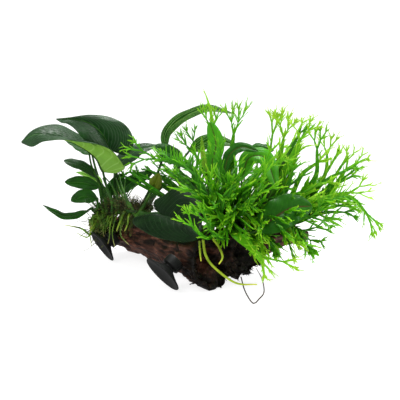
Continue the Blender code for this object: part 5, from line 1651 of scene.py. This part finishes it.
def fillFronds():
    chance = random.Random(fillValues["seed"])
    skins = {tone: newSkin() for tone in fillValues["tones"].values()}
    number = 0
    for oval in fillValues["ovals"]:
        for count in range(oval["count"]):
            angle, radius = chance.uniform(0, 2 * math.pi), math.sqrt(chance.random())
            column = oval["middle"][0] + oval["size"][0] * radius * math.cos(angle)
            row = oval["middle"][1] + oval["size"][1] * radius * math.sin(angle)
            end = seen(column, row, chance.uniform(*oval["back"]))
            share = (column - fillValues["stemFrom"]) / fillValues["stemWide"] * fillValues["stemShare"]
            share = min(1, max(0, share + chance.uniform(-0.16, 0.16)))
            inside, start = footAndStart(fernStem, share, end)
            stray = Vector((chance.uniform(-5, 5), chance.uniform(-5, 5), chance.uniform(0, 9)))
            half = start[1].lerp(end, 0.55) + stray * mm
            path = smoothPath([inside] + start + [half, end], 9)
            lean = Vector((chance.uniform(-0.7, 0.7), -0.8, chance.uniform(-0.1, 1.0))).normalized()
            number += 1
            spec = {
                "seed": 300 + number, "width": chance.uniform(*fillValues["width"]),
                "reach": chance.uniform(*fillValues["reach"]),
                "spread": chance.uniform(*fillValues["spread"]),
                "comb": {"count": 3, "long": (4, 9)}, "rise": Vector((0, 0, chance.uniform(-0.4, 0.3))),
            }
            # Some are a narrow strap with few, long fingers.
            if chance.random() < oval.get("narrow", fillValues["narrow"]):
                spec |= {"spread": 26, "width": spec["width"] * 0.7, "spurs": (0, 1)}
                spec["comb"] = {"count": 4, "from": 0.35, "long": (8, 17), "slant": 16, "fork": 0.3}
            tone = fillValues["tones"][chance.choice(oval["tones"])]
            growFrond(skins[tone], path, [lean, lean], spec, 1)
    for tone, skin in skins.items():
        finishPiece(ribbonPiece("small_fronds_" + tone, skin, frondFinishes[tone], 0), "fern_leaf")


fillFronds()
print("small fronds done")


stageValues = {
    "profile": ((0, 0), (0.7, 0), (1.1, 0), (1.4, 0.03), (1.65, 0.15), (1.8, 0.4), (1.85, 0.8), (1.85, 1.6)),
    "floor": {"color": (0.35, 0.35, 0.35, 1), "glow": 0.84}, "world": 0.22,
    "lights": {
        "keyLight": {"place": (0.2, 0.3, 1.25), "size": 0.4, "power": 16.5},
        "sideLight": {"place": (1.15, 0.0, 0.6), "size": 0.4, "power": 5},
        "frontLight": {"place": (-0.6, -0.7, 1.15), "size": 0.4, "power": 4.5},
    },
    "aim": (0, 0, 0.08), "camera": {"lens": 48.6, "sensor": 36, "clip": (0.01, 20), "tilt": 83},
}


def bowl():  # a floor whose rim rises all round, so that no edge of it shows
    mesh = bpy.data.meshes.new("floor")
    points = [(out, 0, up) for out, up in stageValues["profile"]]
    mesh.from_pydata(points, [(k, k + 1) for k in range(len(points) - 1)], [])
    floor = bpy.data.objects.new("floor", mesh)
    bpy.context.scene.collection.objects.link(floor)
    selectOnly(floor)
    bpy.ops.object.mode_set(mode="EDIT")
    bpy.ops.mesh.select_all(action="SELECT")
    bpy.ops.mesh.spin(steps=96, angle=2 * math.pi, center=(0, 0, 0), axis=(0, 0, 1))
    bpy.ops.mesh.select_all(action="SELECT")
    bpy.ops.mesh.remove_doubles(threshold=0.0001)
    bpy.ops.object.mode_set(mode="OBJECT")
    finish, tree, shader = newFinish("paleFloor", {
        "Roughness": 0.9, "Base Color": stageValues["floor"]["color"], "Emission Color": (1, 1, 1, 1),
        "Emission Strength": stageValues["floor"]["glow"],
    })
    mesh.materials.append(finish)
    floor.visible_glossy = False  # the bright floor would show as haze on the dark wet leaves
    mesh.shade_smooth()
    return floor


def softLight(name, values, aim):
    data = bpy.data.lights.new(name, "AREA")
    data.shape = "DISK"
    data.size, data.energy = values["size"], values["power"]
    light = bpy.data.objects.new(name, data)
    light.location = values["place"]
    light.rotation_euler = (aim - Vector(values["place"])).to_track_quat("-Z", "Y").to_euler()
    bpy.context.scene.collection.objects.link(light)


bowl()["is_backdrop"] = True
aim = Vector(stageValues["aim"])
for lightName, values in stageValues["lights"].items():
    softLight(lightName, values, aim)
world = bpy.data.worlds.new("softSky")
bpy.context.scene.world = world
world.use_nodes = True
world.node_tree.nodes["Background"].inputs["Color"].default_value = (1, 1, 1, 1)
world.node_tree.nodes["Background"].inputs["Strength"].default_value = stageValues["world"]
bpy.context.scene.view_settings.view_transform = "Standard"

cameraData = bpy.data.cameras.new("camera")
lensValues = stageValues["camera"]
cameraData.lens, cameraData.sensor_width = lensValues["lens"], lensValues["sensor"]
cameraData.clip_start, cameraData.clip_end = lensValues["clip"]
camera = bpy.data.objects.new("camera", cameraData)
camera.location = eye - origin
camera.rotation_euler = (math.radians(lensValues["tilt"]), 0, 0)
bpy.context.scene.collection.objects.link(camera)
bpy.context.scene.camera = camera

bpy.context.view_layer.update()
for piece in sorted(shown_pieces(), key=lambda piece: piece.name):
    triangles = sum(len(face.vertices) - 2 for face in piece.data.polygons)
    corners = [vert.co for vert in piece.data.vertices]
    box = [
        [round(edge(corner[axis] for corner in corners) / mm, 1) for axis in range(3)] for edge in (min, max)
    ]
    print(piece.name, triangles, "triangles", box)
print("scene done")
